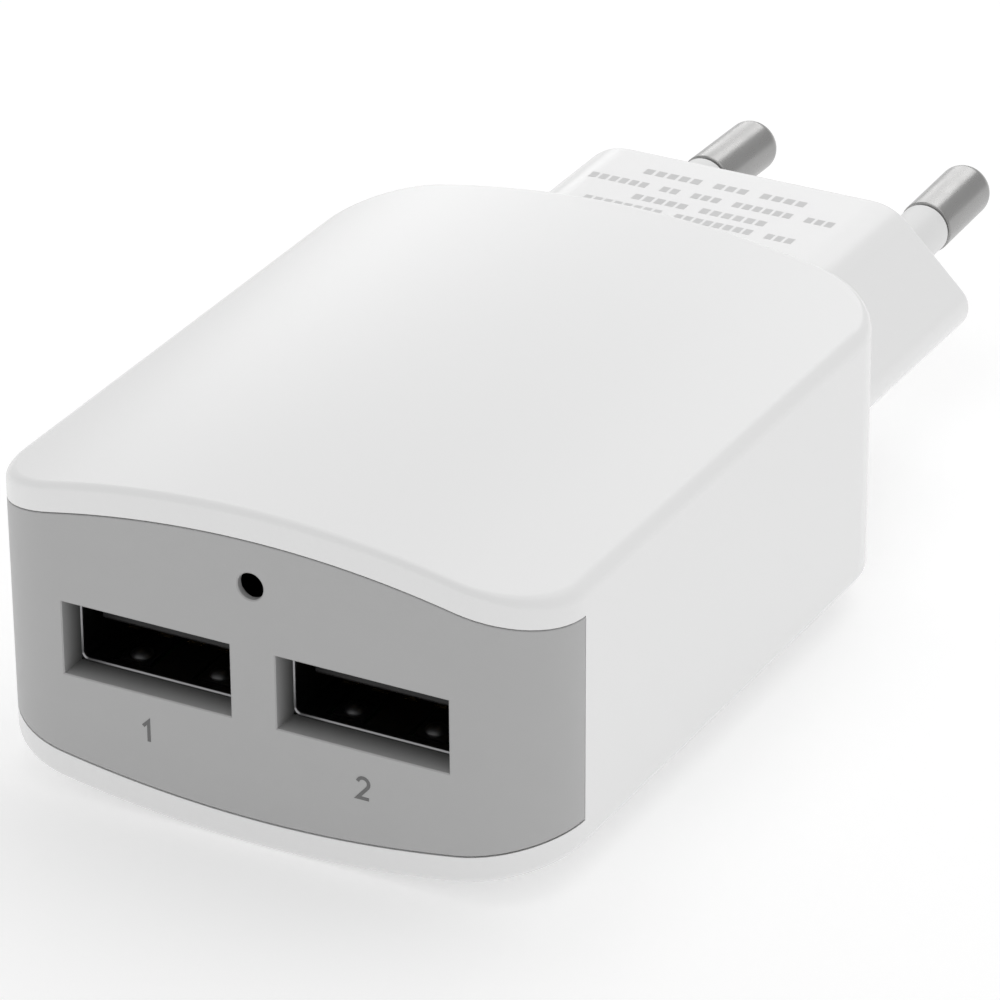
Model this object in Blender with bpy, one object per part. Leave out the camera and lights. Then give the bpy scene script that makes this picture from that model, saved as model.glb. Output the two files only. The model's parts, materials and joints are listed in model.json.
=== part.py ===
"""USB wall charger with two fixed round mains pins, two USB-A sockets and a grey front panel.

Units are metres. +X is to the right when looking at the sockets, -Y is the socket end, +Y is
the pin end and +Z is up. The origin is the centre of the bottom of the object's box.
"""

import math

import bmesh
import bpy
from mathutils import Vector

# ---------------------------------------------------------------- driving dimensions

# Casing body
BODY_WIDTH = 0.0420  # level with its top; the sides lean in below
BODY_HEIGHT = 0.0245
BODY_DEPTH = 0.0524
SIDE_DRAFT = 0.00015  # how far each side leans in from the top to the bottom
CORNER_RADIUS = 0.0062  # the four upright corners, seen from above
CROWN_DROP_TOP = 0.0030  # how much lower the upper broad face is at its sides
CROWN_DROP_BOTTOM = 0.0026  # how much the lower broad face rises at its sides
CROWN_FLAT = 0.0030  # width of the flat strip along the middle of each broad face
EDGE_FILLET = 0.0007
SIDE_WALL = 0.0018
BROAD_WALL = 0.0024
REAR_WALL = 0.0020

# Plug neck
NECK_LENGTH = 0.0192
NECK_WIDTH = 0.0366  # at its widest, at mid height
NECK_TOP_WIDTH = 0.0229  # between the sharp corners of the top flat
NECK_HEIGHT = 0.0137
NECK_TOP_RADIUS = 0.0040
NECK_SIDE_RADIUS = 0.0018
NECK_INNER_RADIUS = 0.0005  # smallest rounding inside the neck
NECK_WALL = 0.0019
NECK_END_WALL = 0.0026

# Mains pins
PIN_DIAMETER = 0.0040
PIN_CORE_DIAMETER = 0.0028
PIN_LENGTH = 0.0190
PIN_SPACING_BASE = 0.0186
PIN_SPACING_TIP = 0.0175
PIN_TIP_RADIUS = 0.0012
PIN_TAIL_DIAMETER = 0.0020
PIN_TAIL_LENGTH = 0.0030
PIN_COLLAR_DIAMETER = 0.0050
PIN_COLLAR_LENGTH = 0.0014
SLEEVE_LENGTH = 0.0105
SLEEVE_DIAMETER = 0.0038
SLEEVE_FLANGE_DIAMETER = 0.0060
SLEEVE_FLANGE_LENGTH = 0.0010
CARRIER_LENGTH = 0.0030
STRIP_THICKNESS = 0.0005
STRIP_WIDTH = 0.0036

# Front panel
PANEL_WALL = 0.0014
PANEL_REACH = 0.0060  # how far its sides run back from the front face
LIP_HEIGHT = 0.0021  # the casing's lip above the panel
RIM_HEIGHT = 0.0019  # the casing's rim below the panel
LED_HOLE_DIAMETER = 0.0019
LED_RELIEF_DIAMETER = 0.0034  # wider hole behind, which leaves a thin skin round the small one
LED_SKIN = 0.0005
LED_RISE = 0.0069  # hole centre above the casing's mid height
TAB_LENGTH = 0.0040
TAB_HEIGHT = 0.0070
TAB_THICKNESS = 0.0009

# USB-A sockets
PORT_PITCH = 0.0160
PORT_DROP = 0.00035  # socket centre below the casing's mid height
SHELL_SETBACK = 0.0009  # sockets' front edges behind the panel's inner face
WINDOW_WIDTH = 0.0126
WINDOW_HEIGHT = 0.0053
WINDOW_COLLAR = 0.0010  # thickness of the collar behind each window, back to the socket
SHELL_INNER_WIDTH = 0.0125
SHELL_INNER_HEIGHT = 0.0051
SHELL_WALL = 0.0003
SHELL_LENGTH = 0.0138
INSULATOR_LENGTH = 0.0034
TONGUE_WIDTH = 0.0111
TONGUE_THICKNESS = 0.00184
TONGUE_RECESS = 0.0015  # tongue's front edge behind the shell's front edge
TONGUE_HEADROOM = 0.0010  # between the tongue and the shell above it
CONTACT_COUNT = 4
CONTACT_PITCH = 0.0023
CONTACT_WIDTH = 0.0010
CONTACT_THICKNESS = 0.00025
CONTACT_NOSE = 0.0005  # length of the contact's sloping front end
SPRING_WINDOW_START = 0.0008  # behind the shell's front edge
SPRING_WINDOW_WIDTH = 0.0030
SPRING_WINDOW_LENGTH = 0.0060
SPRING_SPACING = 0.0060
SPRING_RISE = 0.0006  # how far the middle of a spring stands above the shell's floor

# Board and rails
BOARD_THICKNESS = 0.0016
BOARD_SETBACK = 0.0014  # board's front edge behind the socket shells' front edges
RAIL_WIDTH = 0.0012
RAIL_HEIGHT = 0.0010

# Round components: diameter and height, or thickness
OUTPUT_CAPACITOR = (0.0063, 0.0105)
INPUT_CAPACITOR = (0.0080, 0.0118)
CAN_RIM = 0.0004  # rounding of a can's rim and depth of its crimp
CAN_CRIMP_HEIGHT = 0.0016
CHOKE = (0.0060, 0.0075)
CHOKE_FLANGE = 0.0011
CHOKE_WAIST_DIAMETER = 0.0048
Y_CAPACITOR = (0.0070, 0.0034)
Y_CAPACITOR_RIM = 0.0012
FUSE_RESISTOR = (0.0034, 0.0080)
FUSE_CAP_LENGTH = 0.0016
FUSE_WAIST_DIAMETER = 0.0029

# Moulded packages: width along X, depth along Y, and height
OUTPUT_DIODE = (0.0040, 0.0058, 0.0023)
OPTOCOUPLER = (0.0046, 0.0064, 0.0035)
CONTROLLER = (0.0060, 0.0049, 0.0017)
RECTIFIER = (0.0039, 0.0047, 0.0025)
PACKAGE_DRAFT = 0.00025

# Transformer
BOBBIN = (0.0148, 0.0128, 0.0106)
BOBBIN_FLANGE = 0.0012
BOBBIN_STEM = (0.0071, 0.0066)
WINDING_MARGIN = 0.0011  # winding's side inside the edge of the bobbin's flanges
WINDING_CORNER = 0.0025
CORE_THICKNESS = 0.0030
CORE_DEPTH = 0.0092

# Indicator
LED_DIAMETER = 0.0030
LED_FLANGE_DIAMETER = 0.0036
LED_FLANGE_LENGTH = 0.0008
LED_LENGTH = 0.0046
LED_LEAD_DIAMETER = 0.0005
LED_LEAD_PITCH = 0.0018

# Clearances
TOUCH_GAP = 0.0003  # between pieces that rest on each other
SEAM_GAP = 0.0002  # round the front panel
SLEEVE_GAP = 0.00015  # between pin core, sleeve and end wall
ROW_GAP = 0.0008  # between components along the board
CUT_MARGIN = 0.0020  # how far cutters run past what they cut

# Facet counts
CORNER_STEPS = 5
CROWN_STEPS = 5
FILLET_STEPS = 3
ROUND_SIDES = 24
SMALL_SIDES = 16

# ---------------------------------------------------------------- derived places

OVERALL_LENGTH = BODY_DEPTH + NECK_LENGTH + PIN_LENGTH
FRONT_Y = -OVERALL_LENGTH / 2
BODY_REAR_Y = FRONT_Y + BODY_DEPTH
NECK_END_Y = BODY_REAR_Y + NECK_LENGTH
MID_Z = BODY_HEIGHT / 2
PORT_Z = MID_Z - PORT_DROP
SHELL_HEIGHT = SHELL_INNER_HEIGHT + 2 * SHELL_WALL
SHELL_WIDTH = SHELL_INNER_WIDTH + 2 * SHELL_WALL
SHELL_FRONT_Y = FRONT_Y + PANEL_WALL + SHELL_SETBACK
SHELL_REAR_Y = SHELL_FRONT_Y + SHELL_LENGTH
BOARD_TOP_Z = PORT_Z - SHELL_HEIGHT / 2 - TOUCH_GAP
BOARD_LOW_Z = BOARD_TOP_Z - BOARD_THICKNESS
BOARD_FRONT_Y = SHELL_FRONT_Y + BOARD_SETBACK
BOARD_REAR_Y = BODY_REAR_Y - REAR_WALL - TOUCH_GAP
COMPONENT_Z = BOARD_TOP_Z + TOUCH_GAP
PIN_LEAN = math.atan((PIN_SPACING_BASE - PIN_SPACING_TIP) / 2 / PIN_LENGTH)
SLEEVE_BACK = -NECK_END_WALL - TOUCH_GAP - SLEEVE_FLANGE_LENGTH
CARRIER_FRONT = SLEEVE_BACK - TOUCH_GAP
COLLAR_FRONT = CARRIER_FRONT - CARRIER_LENGTH - TOUCH_GAP
TAIL_START = COLLAR_FRONT - PIN_COLLAR_LENGTH
TAIL_END = TAIL_START - PIN_TAIL_LENGTH
SIDES = (("left", -1), ("right", 1))


def crown(x):
    """How far a broad face has curved away at x, from 0 along its flat middle to 1 at the sides."""
    beyond = max(0.0, abs(x) - CROWN_FLAT / 2)
    return (beyond / (BODY_WIDTH / 2 - CROWN_FLAT / 2)) ** 2


def crown_top(x):
    return BODY_HEIGHT - CROWN_DROP_TOP * crown(x)


def crown_bottom(x):
    return CROWN_DROP_BOTTOM * crown(x)


def side_scale(z):
    """Width at height z as a share of the width at the top, from the draft of the sides."""
    return 1 - SIDE_DRAFT / (BODY_WIDTH / 2) * (BODY_HEIGHT - z) / BODY_HEIGHT


def hollow_side_x(z):
    """Half the width of the casing's hollow at height z."""
    return (BODY_WIDTH / 2 - SIDE_WALL) * side_scale(z)


TAB_OUTER_X = hollow_side_x(MID_Z - TAB_HEIGHT / 2) - TOUCH_GAP
TAB_INNER_X = TAB_OUTER_X - TAB_THICKNESS
BOARD_SIDE_X = hollow_side_x(BOARD_LOW_Z) - TOUCH_GAP
BOARD_EDGE_X = BOARD_SIDE_X - RAIL_WIDTH


# ---------------------------------------------------------------- helpers


def clear_scene():
    for obj in list(bpy.data.objects):
        bpy.data.objects.remove(obj, do_unlink=True)


def make_material(name, color, roughness, metallic=0.0):
    material = bpy.data.materials.new(name)
    material.use_nodes = True
    shader = material.node_tree.nodes["Principled BSDF"]
    shader.inputs["Base Color"].default_value = (*color, 1.0)
    shader.inputs["Roughness"].default_value = roughness
    shader.inputs["Metallic"].default_value = metallic
    return material


def add_object(name, bm, material=None, smooth_angle=None):
    """Turn a bmesh into a named object in the scene."""
    bmesh.ops.recalc_face_normals(bm, faces=bm.faces)
    mesh = bpy.data.meshes.new(name)
    bm.to_mesh(mesh)
    bm.free()
    if smooth_angle is not None:
        mesh.shade_smooth()
        mesh.set_sharp_from_angle(angle=math.radians(smooth_angle))
    obj = bpy.data.objects.new(name, mesh)
    bpy.context.scene.collection.objects.link(obj)
    if material is not None:
        mesh.materials.append(material)
    return obj


def as_cutter(obj):
    obj.hide_render = True
    obj.display_type = "WIRE"
    return obj


def combine(target, operation, others):
    """Boolean the other objects into the target, one modifier each."""
    for other in others:
        as_cutter(other)
        modifier = target.modifiers.new(other.name, "BOOLEAN")
        modifier.operation = operation
        modifier.solver = "EXACT"
        modifier.object = other


def box(name, low, high, material=None):
    bm = bmesh.new()
    bmesh.ops.create_cube(bm, size=1.0)
    size = Vector(high) - Vector(low)
    centre = (Vector(high) + Vector(low)) / 2
    for vertex in bm.verts:
        vertex.co = Vector(a * b for a, b in zip(vertex.co, size)) + centre
    return add_object(name, bm, material)


def prism(name, outline, start, end, axis="Y", material=None, smooth_angle=None):
    """Extrude an outline along an axis: (x, z) along Y, (x, y) along Z or (y, z) along X."""
    place = {
        "X": lambda a, b, t: (t, a, b),
        "Y": lambda a, b, t: (a, t, b),
        "Z": lambda a, b, t: (a, b, t),
    }[axis]
    bm = bmesh.new()
    first = [bm.verts.new(place(a, b, start)) for a, b in outline]
    last = [bm.verts.new(place(a, b, end)) for a, b in outline]
    bm.faces.new(first)
    bm.faces.new(reversed(last))
    count = len(outline)
    for i in range(count):
        j = (i + 1) % count
        bm.faces.new((first[i], last[i], last[j], first[j]))
    return add_object(name, bm, material, smooth_angle)


def turned(name, profile, sides=ROUND_SIDES, material=None, smooth_angle=40):
    """Turn a profile of (radius, height) points about the local Z axis.

    A profile that starts and ends on the axis gives a solid. Otherwise it is taken as a closed
    ring section.
    """
    solid = profile[0][0] == 0 and profile[-1][0] == 0
    bm = bmesh.new()
    rings = []
    for radius, height in profile:
        if radius == 0:
            rings.append([bm.verts.new((0, 0, height))])
            continue
        angles = [2 * math.pi * i / sides for i in range(sides)]
        ring = [(radius * math.cos(a), radius * math.sin(a), height) for a in angles]
        rings.append([bm.verts.new(point) for point in ring])
    pairs = list(zip(rings, rings[1:]))
    if not solid:
        pairs.append((rings[-1], rings[0]))
    for lower, upper in pairs:
        for i in range(sides):
            j = (i + 1) % sides
            corners = [lower[i % len(lower)], lower[j % len(lower)]]
            corners += [upper[j % len(upper)], upper[i % len(upper)]]
            bm.faces.new(dict.fromkeys(corners))
    return add_object(name, bm, material, smooth_angle)


def round_cut(name, radius, low, high):
    """A plain cylinder along its local Z, for cutting round holes."""
    return turned(name, [(0, low), (radius, low), (radius, high), (0, high)])


def arc(centre, radius, start, end, steps):
    """Points on an arc, both ends included, with angles in degrees."""
    points = []
    for i in range(steps + 1):
        angle = math.radians(start + (end - start) * i / steps)
        points.append((centre[0] + radius * math.cos(angle), centre[1] + radius * math.sin(angle)))
    return points


def rounded_polygon(corners, radii, steps=4):
    """Outline of a polygon whose corners are rounded by the given radii."""
    points = []
    count = len(corners)
    for i, (corner, radius) in enumerate(zip(corners, radii)):
        corner = Vector(corner)
        back = (Vector(corners[i - 1]) - corner).normalized()
        ahead = (Vector(corners[(i + 1) % count]) - corner).normalized()
        half = back.angle(ahead) / 2
        middle = corner + (back + ahead).normalized() * radius / math.sin(half)
        start = corner + back * radius / math.tan(half) - middle
        sweep = start.angle_signed(corner + ahead * radius / math.tan(half) - middle)
        for k in range(steps + 1):
            turn = -sweep * k / steps
            cos, sin = math.cos(turn), math.sin(turn)
            x = middle.x + start.x * cos - start.y * sin
            y = middle.y + start.x * sin + start.y * cos
            points.append((x, y))
    return points


def plan_stations(half_width, depth, radius, inset):
    """Front and rear plan points, from left to right, of a rounded rectangle made smaller by inset."""
    straight = half_width - radius
    turn = [math.radians(90 * i / CORNER_STEPS) for i in range(CORNER_STEPS + 1)]
    bend = radius - inset
    right = [(straight + bend * math.sin(t), radius - bend * math.cos(t)) for t in turn]
    flat = CROWN_FLAT / 2
    middle = [(flat + (straight - flat) * i / CROWN_STEPS, inset) for i in range(CROWN_STEPS)]
    right = middle + right
    front = [(-x, y) for x, y in reversed(right)] + right
    rear = [(x, depth - y) for x, y in front]
    return front, rear


def crowned_block(
    name, half_width, depth, radius, top, bottom, fillet=0.0, front_y=FRONT_Y, material=None
):
    """A block with rounded upright corners, drafted sides and crowned faces top(x) and bottom(x)."""
    if fillet:
        turn = [math.radians(90 * i / FILLET_STEPS) for i in range(FILLET_STEPS + 1)]
        curve = [(fillet * (1 - math.sin(t)), fillet * (1 - math.cos(t))) for t in turn]
        levels = [(inset, bottom, rise) for inset, rise in curve]
        levels += [(inset, top, -rise) for inset, rise in reversed(curve)]
    else:
        levels = [(0.0, bottom, 0.0), (0.0, top, 0.0)]
    bm = bmesh.new()
    rings = []
    for inset, face, shift in levels:
        front, rear = plan_stations(half_width, depth, radius, inset)
        ring = []
        for x, y in front + rear[::-1]:
            z = face(x) + shift
            ring.append(bm.verts.new((x * side_scale(z), front_y + y, z)))
        rings.append(ring)
    count = len(rings[0])
    for lower, upper in zip(rings, rings[1:]):
        for i in range(count):
            j = (i + 1) % count
            bm.faces.new((lower[i], lower[j], upper[j], upper[i]))
    for ring in (rings[0], rings[-1]):
        for i in range(count // 2 - 1):
            bm.faces.new((ring[i], ring[i + 1], ring[count - 2 - i], ring[count - 1 - i]))
    return add_object(name, bm, material, 30)


# ---------------------------------------------------------------- casing


def neck_outline(wall=0.0):
    """Outline of the plug neck, seen along Y, or of its hollow when a wall is given."""
    half_height = NECK_HEIGHT / 2
    run = NECK_WIDTH / 2 - NECK_TOP_WIDTH / 2
    slant = math.hypot(run, half_height)
    inner_height = half_height - wall
    top_x = NECK_WIDTH / 2 - wall * slant / half_height - inner_height * run / half_height
    side_x = NECK_WIDTH / 2 - wall * slant / half_height
    corners = [
        (-top_x, inner_height),
        (top_x, inner_height),
        (side_x, 0.0),
        (top_x, -inner_height),
        (-top_x, -inner_height),
        (-side_x, 0.0),
    ]
    top_radius = NECK_TOP_RADIUS - wall
    side_radius = max(NECK_SIDE_RADIUS - wall, NECK_INNER_RADIUS)
    radii = [top_radius, top_radius, side_radius, top_radius, top_radius, side_radius]
    return [(x, z + MID_Z) for x, z in rounded_polygon(corners, radii)]


def pin_place(side, along):
    """Point on a pin's leaning axis, at a distance along Y from the neck's end face."""
    x = side * (PIN_SPACING_BASE / 2 - along * math.tan(PIN_LEAN))
    return Vector((x, NECK_END_Y + along, MID_Z))


def place_on_pin(obj, side):
    """Lay a piece turned about Z along the pin's axis, with its local zero at the end face."""
    obj.location = pin_place(side, 0.0)
    obj.rotation_euler = (-math.pi / 2, 0, side * PIN_LEAN)


def rail(name, side, low_z):
    """A rib on the casing's inner side wall that guides the board's edge."""
    inner = hollow_side_x(low_z)
    edges = sorted((side * (inner - RAIL_WIDTH), side * (inner + SIDE_WALL / 2)))
    front = FRONT_Y + PANEL_REACH + TAB_LENGTH + TOUCH_GAP
    low = (edges[0], front, low_z)
    high = (edges[1], BODY_REAR_Y - REAR_WALL - TOUCH_GAP, low_z + RAIL_HEIGHT)
    return box(name, low, high)


def housing(white):
    """One moulding: crowned body, plug neck, end wall with two pin holes, and board rails."""
    half = BODY_WIDTH / 2
    shell = crowned_block(
        "housing",
        half,
        BODY_DEPTH,
        CORNER_RADIUS,
        crown_top,
        crown_bottom,
        EDGE_FILLET,
        material=white,
    )
    neck_root_y = BODY_REAR_Y - REAR_WALL / 2
    neck = prism("neck_form", neck_outline(), neck_root_y, NECK_END_Y, smooth_angle=30)
    combine(shell, "UNION", [neck])

    cavity_front = FRONT_Y - CORNER_RADIUS - CUT_MARGIN
    cavity = crowned_block(
        "cavity_cut",
        half - SIDE_WALL,
        BODY_REAR_Y - REAR_WALL - cavity_front,
        CORNER_RADIUS - SIDE_WALL,
        lambda x: crown_top(x) - BROAD_WALL,
        lambda x: crown_bottom(x) + BROAD_WALL,
        front_y=cavity_front,
    )
    pocket = crowned_block(
        "panel_cut",
        half + CORNER_RADIUS,
        FRONT_Y + PANEL_REACH - cavity_front,
        CORNER_RADIUS / 2,
        lambda x: crown_top(x) - LIP_HEIGHT,
        lambda x: crown_bottom(x) + RIM_HEIGHT,
        front_y=cavity_front,
    )
    hollow = prism(
        "neck_cut",
        neck_outline(NECK_WALL),
        BODY_REAR_Y - REAR_WALL - CUT_MARGIN,
        NECK_END_Y - NECK_END_WALL,
    )
    combine(shell, "DIFFERENCE", [cavity, pocket, hollow])

    rail_levels = {
        "lower": BOARD_LOW_Z - TOUCH_GAP - RAIL_HEIGHT,
        "upper": BOARD_TOP_Z + TOUCH_GAP,
    }
    rails = [
        rail(f"rail_{level}_{label}", side, low_z)
        for label, side in SIDES
        for level, low_z in rail_levels.items()
    ]
    combine(shell, "UNION", rails)

    hole_radius = SLEEVE_DIAMETER / 2 + SLEEVE_GAP
    for label, side in SIDES:
        depth = NECK_END_WALL + CUT_MARGIN
        hole = round_cut(f"pin_hole_{label}", hole_radius, -depth, CUT_MARGIN)
        place_on_pin(hole, side)
        combine(shell, "DIFFERENCE", [hole])
    return shell


# ---------------------------------------------------------------- front panel


def front_panel(grey):
    """Cover that closes the casing's front and wraps round both front corners."""
    half = BODY_WIDTH / 2
    panel = crowned_block(
        "front_panel",
        half,
        BODY_DEPTH,
        CORNER_RADIUS,
        lambda x: crown_top(x) - LIP_HEIGHT - SEAM_GAP,
        lambda x: crown_bottom(x) + RIM_HEIGHT + SEAM_GAP,
        material=grey,
    )
    back = box(
        "panel_back_cut",
        (-half - CUT_MARGIN, FRONT_Y + PANEL_REACH - SEAM_GAP, -CUT_MARGIN),
        (half + CUT_MARGIN, BODY_REAR_Y + CUT_MARGIN, BODY_HEIGHT + CUT_MARGIN),
    )
    inner = half - PANEL_WALL
    bend = CORNER_RADIUS - PANEL_WALL
    right = arc((inner - bend, FRONT_Y + CORNER_RADIUS), bend, -90, 0, CORNER_STEPS)
    right.append((inner, BODY_REAR_Y))
    outline = [(-x, y) for x, y in reversed(right)] + right
    low_z, high_z = -CUT_MARGIN, BODY_HEIGHT + CUT_MARGIN
    inside = prism("panel_inside_cut", outline, low_z, high_z, axis="Z")
    windows = []
    collars = []
    for label, side in SIDES:
        x = side * PORT_PITCH / 2
        width, height = WINDOW_WIDTH / 2 + WINDOW_COLLAR, WINDOW_HEIGHT / 2 + WINDOW_COLLAR
        collar_low = (x - width, FRONT_Y + PANEL_WALL / 2, PORT_Z - height)
        collar_high = (x + width, SHELL_FRONT_Y - TOUCH_GAP, PORT_Z + height)
        collars.append(box(f"collar_{label}", collar_low, collar_high))
        low = (x - WINDOW_WIDTH / 2, FRONT_Y - CUT_MARGIN, PORT_Z - WINDOW_HEIGHT / 2)
        high = (x + WINDOW_WIDTH / 2, SHELL_FRONT_Y + CUT_MARGIN, PORT_Z + WINDOW_HEIGHT / 2)
        windows.append(box(f"window_{label}", low, high))
    root_y = FRONT_Y + PANEL_REACH - SEAM_GAP
    tabs = []
    for label, side in SIDES:
        edges = sorted((side * TAB_OUTER_X, side * TAB_INNER_X))
        tab = box(
            f"tab_{label}",
            (edges[0], root_y - TAB_LENGTH / 2, MID_Z - TAB_HEIGHT / 2),
            (edges[1], root_y + TAB_LENGTH, MID_Z + TAB_HEIGHT / 2),
        )
        root_edges = sorted((side * (half - PANEL_WALL / 2), side * TAB_INNER_X))
        root = box(
            f"tab_root_{label}",
            (root_edges[0], root_y - TAB_LENGTH / 2, MID_Z - TAB_HEIGHT / 2),
            (root_edges[1], root_y - SEAM_GAP, MID_Z + TAB_HEIGHT / 2),
        )
        tabs += [tab, root]
    led_hole = round_cut("led_hole", LED_HOLE_DIAMETER / 2, -CUT_MARGIN, CUT_MARGIN)
    led_relief = round_cut("led_relief", LED_RELIEF_DIAMETER / 2, -CUT_MARGIN, -LED_SKIN)
    for hole in (led_hole, led_relief):
        hole.location = (0, FRONT_Y, MID_Z + LED_RISE)
        hole.rotation_euler = (math.pi / 2, 0, 0)
    combine(panel, "DIFFERENCE", [back, inside])
    combine(panel, "UNION", [*collars, *tabs])
    combine(panel, "DIFFERENCE", [*windows, led_hole, led_relief])
    return panel


# ---------------------------------------------------------------- pins and mains parts


def pin(name, side, metal):
    """Solid pin: tail, collar behind the carrier, thin core inside the sleeve, full bare tip."""
    core = PIN_CORE_DIAMETER / 2
    radius = PIN_DIAMETER / 2
    collar = PIN_COLLAR_DIAMETER / 2
    tail = PIN_TAIL_DIAMETER / 2
    shoulder = SLEEVE_LENGTH + SLEEVE_GAP
    tip = arc((radius - PIN_TIP_RADIUS, PIN_LENGTH - PIN_TIP_RADIUS), PIN_TIP_RADIUS, 0, 90, 4)
    profile = [
        (0, TAIL_END),
        (tail, TAIL_END),
        (tail, TAIL_START),
        (collar, TAIL_START),
        (collar, COLLAR_FRONT),
        (core, COLLAR_FRONT),
        (core, shoulder),
        (radius, shoulder),
        *tip,
        (0, PIN_LENGTH),
    ]
    piece = turned(name, profile, material=metal)
    place_on_pin(piece, side)


def sleeve(name, side, plastic):
    """Insulating tube on the pin's inner half, with a flange that holds it behind the end wall."""
    bore = PIN_CORE_DIAMETER / 2 + SLEEVE_GAP
    outer = SLEEVE_DIAMETER / 2
    flange = SLEEVE_FLANGE_DIAMETER / 2
    profile = [
        (bore, SLEEVE_BACK),
        (flange, SLEEVE_BACK),
        (flange, SLEEVE_BACK + SLEEVE_FLANGE_LENGTH),
        (outer, SLEEVE_BACK + SLEEVE_FLANGE_LENGTH),
        (outer, SLEEVE_LENGTH),
        (bore, SLEEVE_LENGTH),
    ]
    piece = turned(name, profile, material=plastic)
    place_on_pin(piece, side)


def pin_carrier(plastic):
    """Insulating block that fills the neck's hollow and spaces the two pins."""
    front = NECK_END_Y + CARRIER_FRONT
    outline = neck_outline(NECK_WALL + TOUCH_GAP)
    rear = front - CARRIER_LENGTH
    carrier = prism("pin_carrier", outline, rear, front, material=plastic, smooth_angle=30)
    radius = PIN_CORE_DIAMETER / 2 + TOUCH_GAP
    low = CARRIER_FRONT - CARRIER_LENGTH - CUT_MARGIN
    high = CARRIER_FRONT + CUT_MARGIN
    for label, side in SIDES:
        hole = round_cut(f"carrier_hole_{label}", radius, low, high)
        place_on_pin(hole, side)
        combine(carrier, "DIFFERENCE", [hole])


def mains_strip(name, side, metal):
    """Bent strip that stands on the board's rear edge and lies under the pin's tail."""
    tail = pin_place(side, TAIL_START - PIN_TAIL_LENGTH / 2)
    top = MID_Z - PIN_TAIL_DIAMETER / 2 - TOUCH_GAP
    foot_y = BOARD_REAR_Y - STRIP_THICKNESS - TOUCH_GAP
    end_y = NECK_END_Y + TAIL_START - TOUCH_GAP
    outline = [
        (foot_y, COMPONENT_Z),
        (foot_y + STRIP_THICKNESS, COMPONENT_Z),
        (foot_y + STRIP_THICKNESS, top - STRIP_THICKNESS),
        (end_y, top - STRIP_THICKNESS),
        (end_y, top),
        (foot_y, top),
    ]
    half = STRIP_WIDTH / 2
    prism(name, outline, tail.x - half, tail.x + half, axis="X", material=metal)


# ---------------------------------------------------------------- USB-A sockets


def usb_shell(name, x, metal):
    """Drawn metal shell, open at the front, with a rear wall and two spring windows in its floor."""
    width, height = SHELL_WIDTH / 2, SHELL_HEIGHT / 2
    low = (x - width, SHELL_FRONT_Y, PORT_Z - height)
    high = (x + width, SHELL_REAR_Y, PORT_Z + height)
    shell = box(name, low, high, metal)
    inner_width, inner_height = SHELL_INNER_WIDTH / 2, SHELL_INNER_HEIGHT / 2
    inner_low = (x - inner_width, SHELL_FRONT_Y - CUT_MARGIN, PORT_Z - inner_height)
    inner_high = (x + inner_width, SHELL_REAR_Y - SHELL_WALL, PORT_Z + inner_height)
    cutters = [box(f"{name}_hollow", inner_low, inner_high)]
    start = SHELL_FRONT_Y + SPRING_WINDOW_START
    end = start + SPRING_WINDOW_LENGTH
    for label, side in SIDES:
        centre = x + side * SPRING_SPACING / 2
        slot_low = (centre - SPRING_WINDOW_WIDTH / 2, start, PORT_Z - height - CUT_MARGIN)
        slot_high = (centre + SPRING_WINDOW_WIDTH / 2, end, PORT_Z - inner_height / 2)
        cutters.append(box(f"{name}_slot_{label}", slot_low, slot_high))
    combine(shell, "DIFFERENCE", cutters)
    for label, side in SIDES:
        centre = x + side * SPRING_SPACING / 2
        floor_low, floor_high = PORT_Z - height, PORT_Z - inner_height
        root_y = end + TOUCH_GAP
        tip_y = start + TOUCH_GAP
        middle_y = (root_y + tip_y) / 2
        outline = [
            (root_y, floor_low),
            (root_y, floor_high),
            (middle_y, floor_high + SPRING_RISE),
            (tip_y, floor_high),
            (tip_y, floor_low),
            (middle_y, floor_low + SPRING_RISE),
        ]
        half = SPRING_WINDOW_WIDTH / 2 - TOUCH_GAP
        spring = prism(f"{name}_spring_{label}", outline, centre - half, centre + half, axis="X")
        combine(shell, "UNION", [spring])


def tongue_top_z():
    return PORT_Z + SHELL_INNER_HEIGHT / 2 - TONGUE_HEADROOM


def usb_insulator(name, x, plastic):
    """Black block that fills the rear of the shell and carries the tongue."""
    half_width = SHELL_INNER_WIDTH / 2 - TOUCH_GAP
    half_height = SHELL_INNER_HEIGHT / 2 - TOUCH_GAP
    rear = SHELL_REAR_Y - SHELL_WALL - TOUCH_GAP
    base = box(
        name,
        (x - half_width, rear - INSULATOR_LENGTH, PORT_Z - half_height),
        (x + half_width, rear, PORT_Z + half_height),
        plastic,
    )
    tongue = box(
        f"{name}_tongue",
        (x - TONGUE_WIDTH / 2, SHELL_FRONT_Y + TONGUE_RECESS, tongue_top_z() - TONGUE_THICKNESS),
        (x + TONGUE_WIDTH / 2, rear - INSULATOR_LENGTH / 2, tongue_top_z()),
    )
    combine(base, "UNION", [tongue])


def usb_contact(name, x, metal):
    """Flat contact along the tongue's lower face."""
    top = tongue_top_z() - TONGUE_THICKNESS - TOUCH_GAP
    rear = SHELL_REAR_Y - SHELL_WALL - TOUCH_GAP - INSULATOR_LENGTH - TOUCH_GAP
    front = SHELL_FRONT_Y + TONGUE_RECESS + TOUCH_GAP
    low, high = top - CONTACT_THICKNESS, top
    outline = [(front + CONTACT_NOSE, low), (rear, low), (rear, high), (front, high)]
    half = CONTACT_WIDTH / 2
    prism(name, outline, x - half, x + half, axis="X", material=metal)


# ---------------------------------------------------------------- board and components


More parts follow.
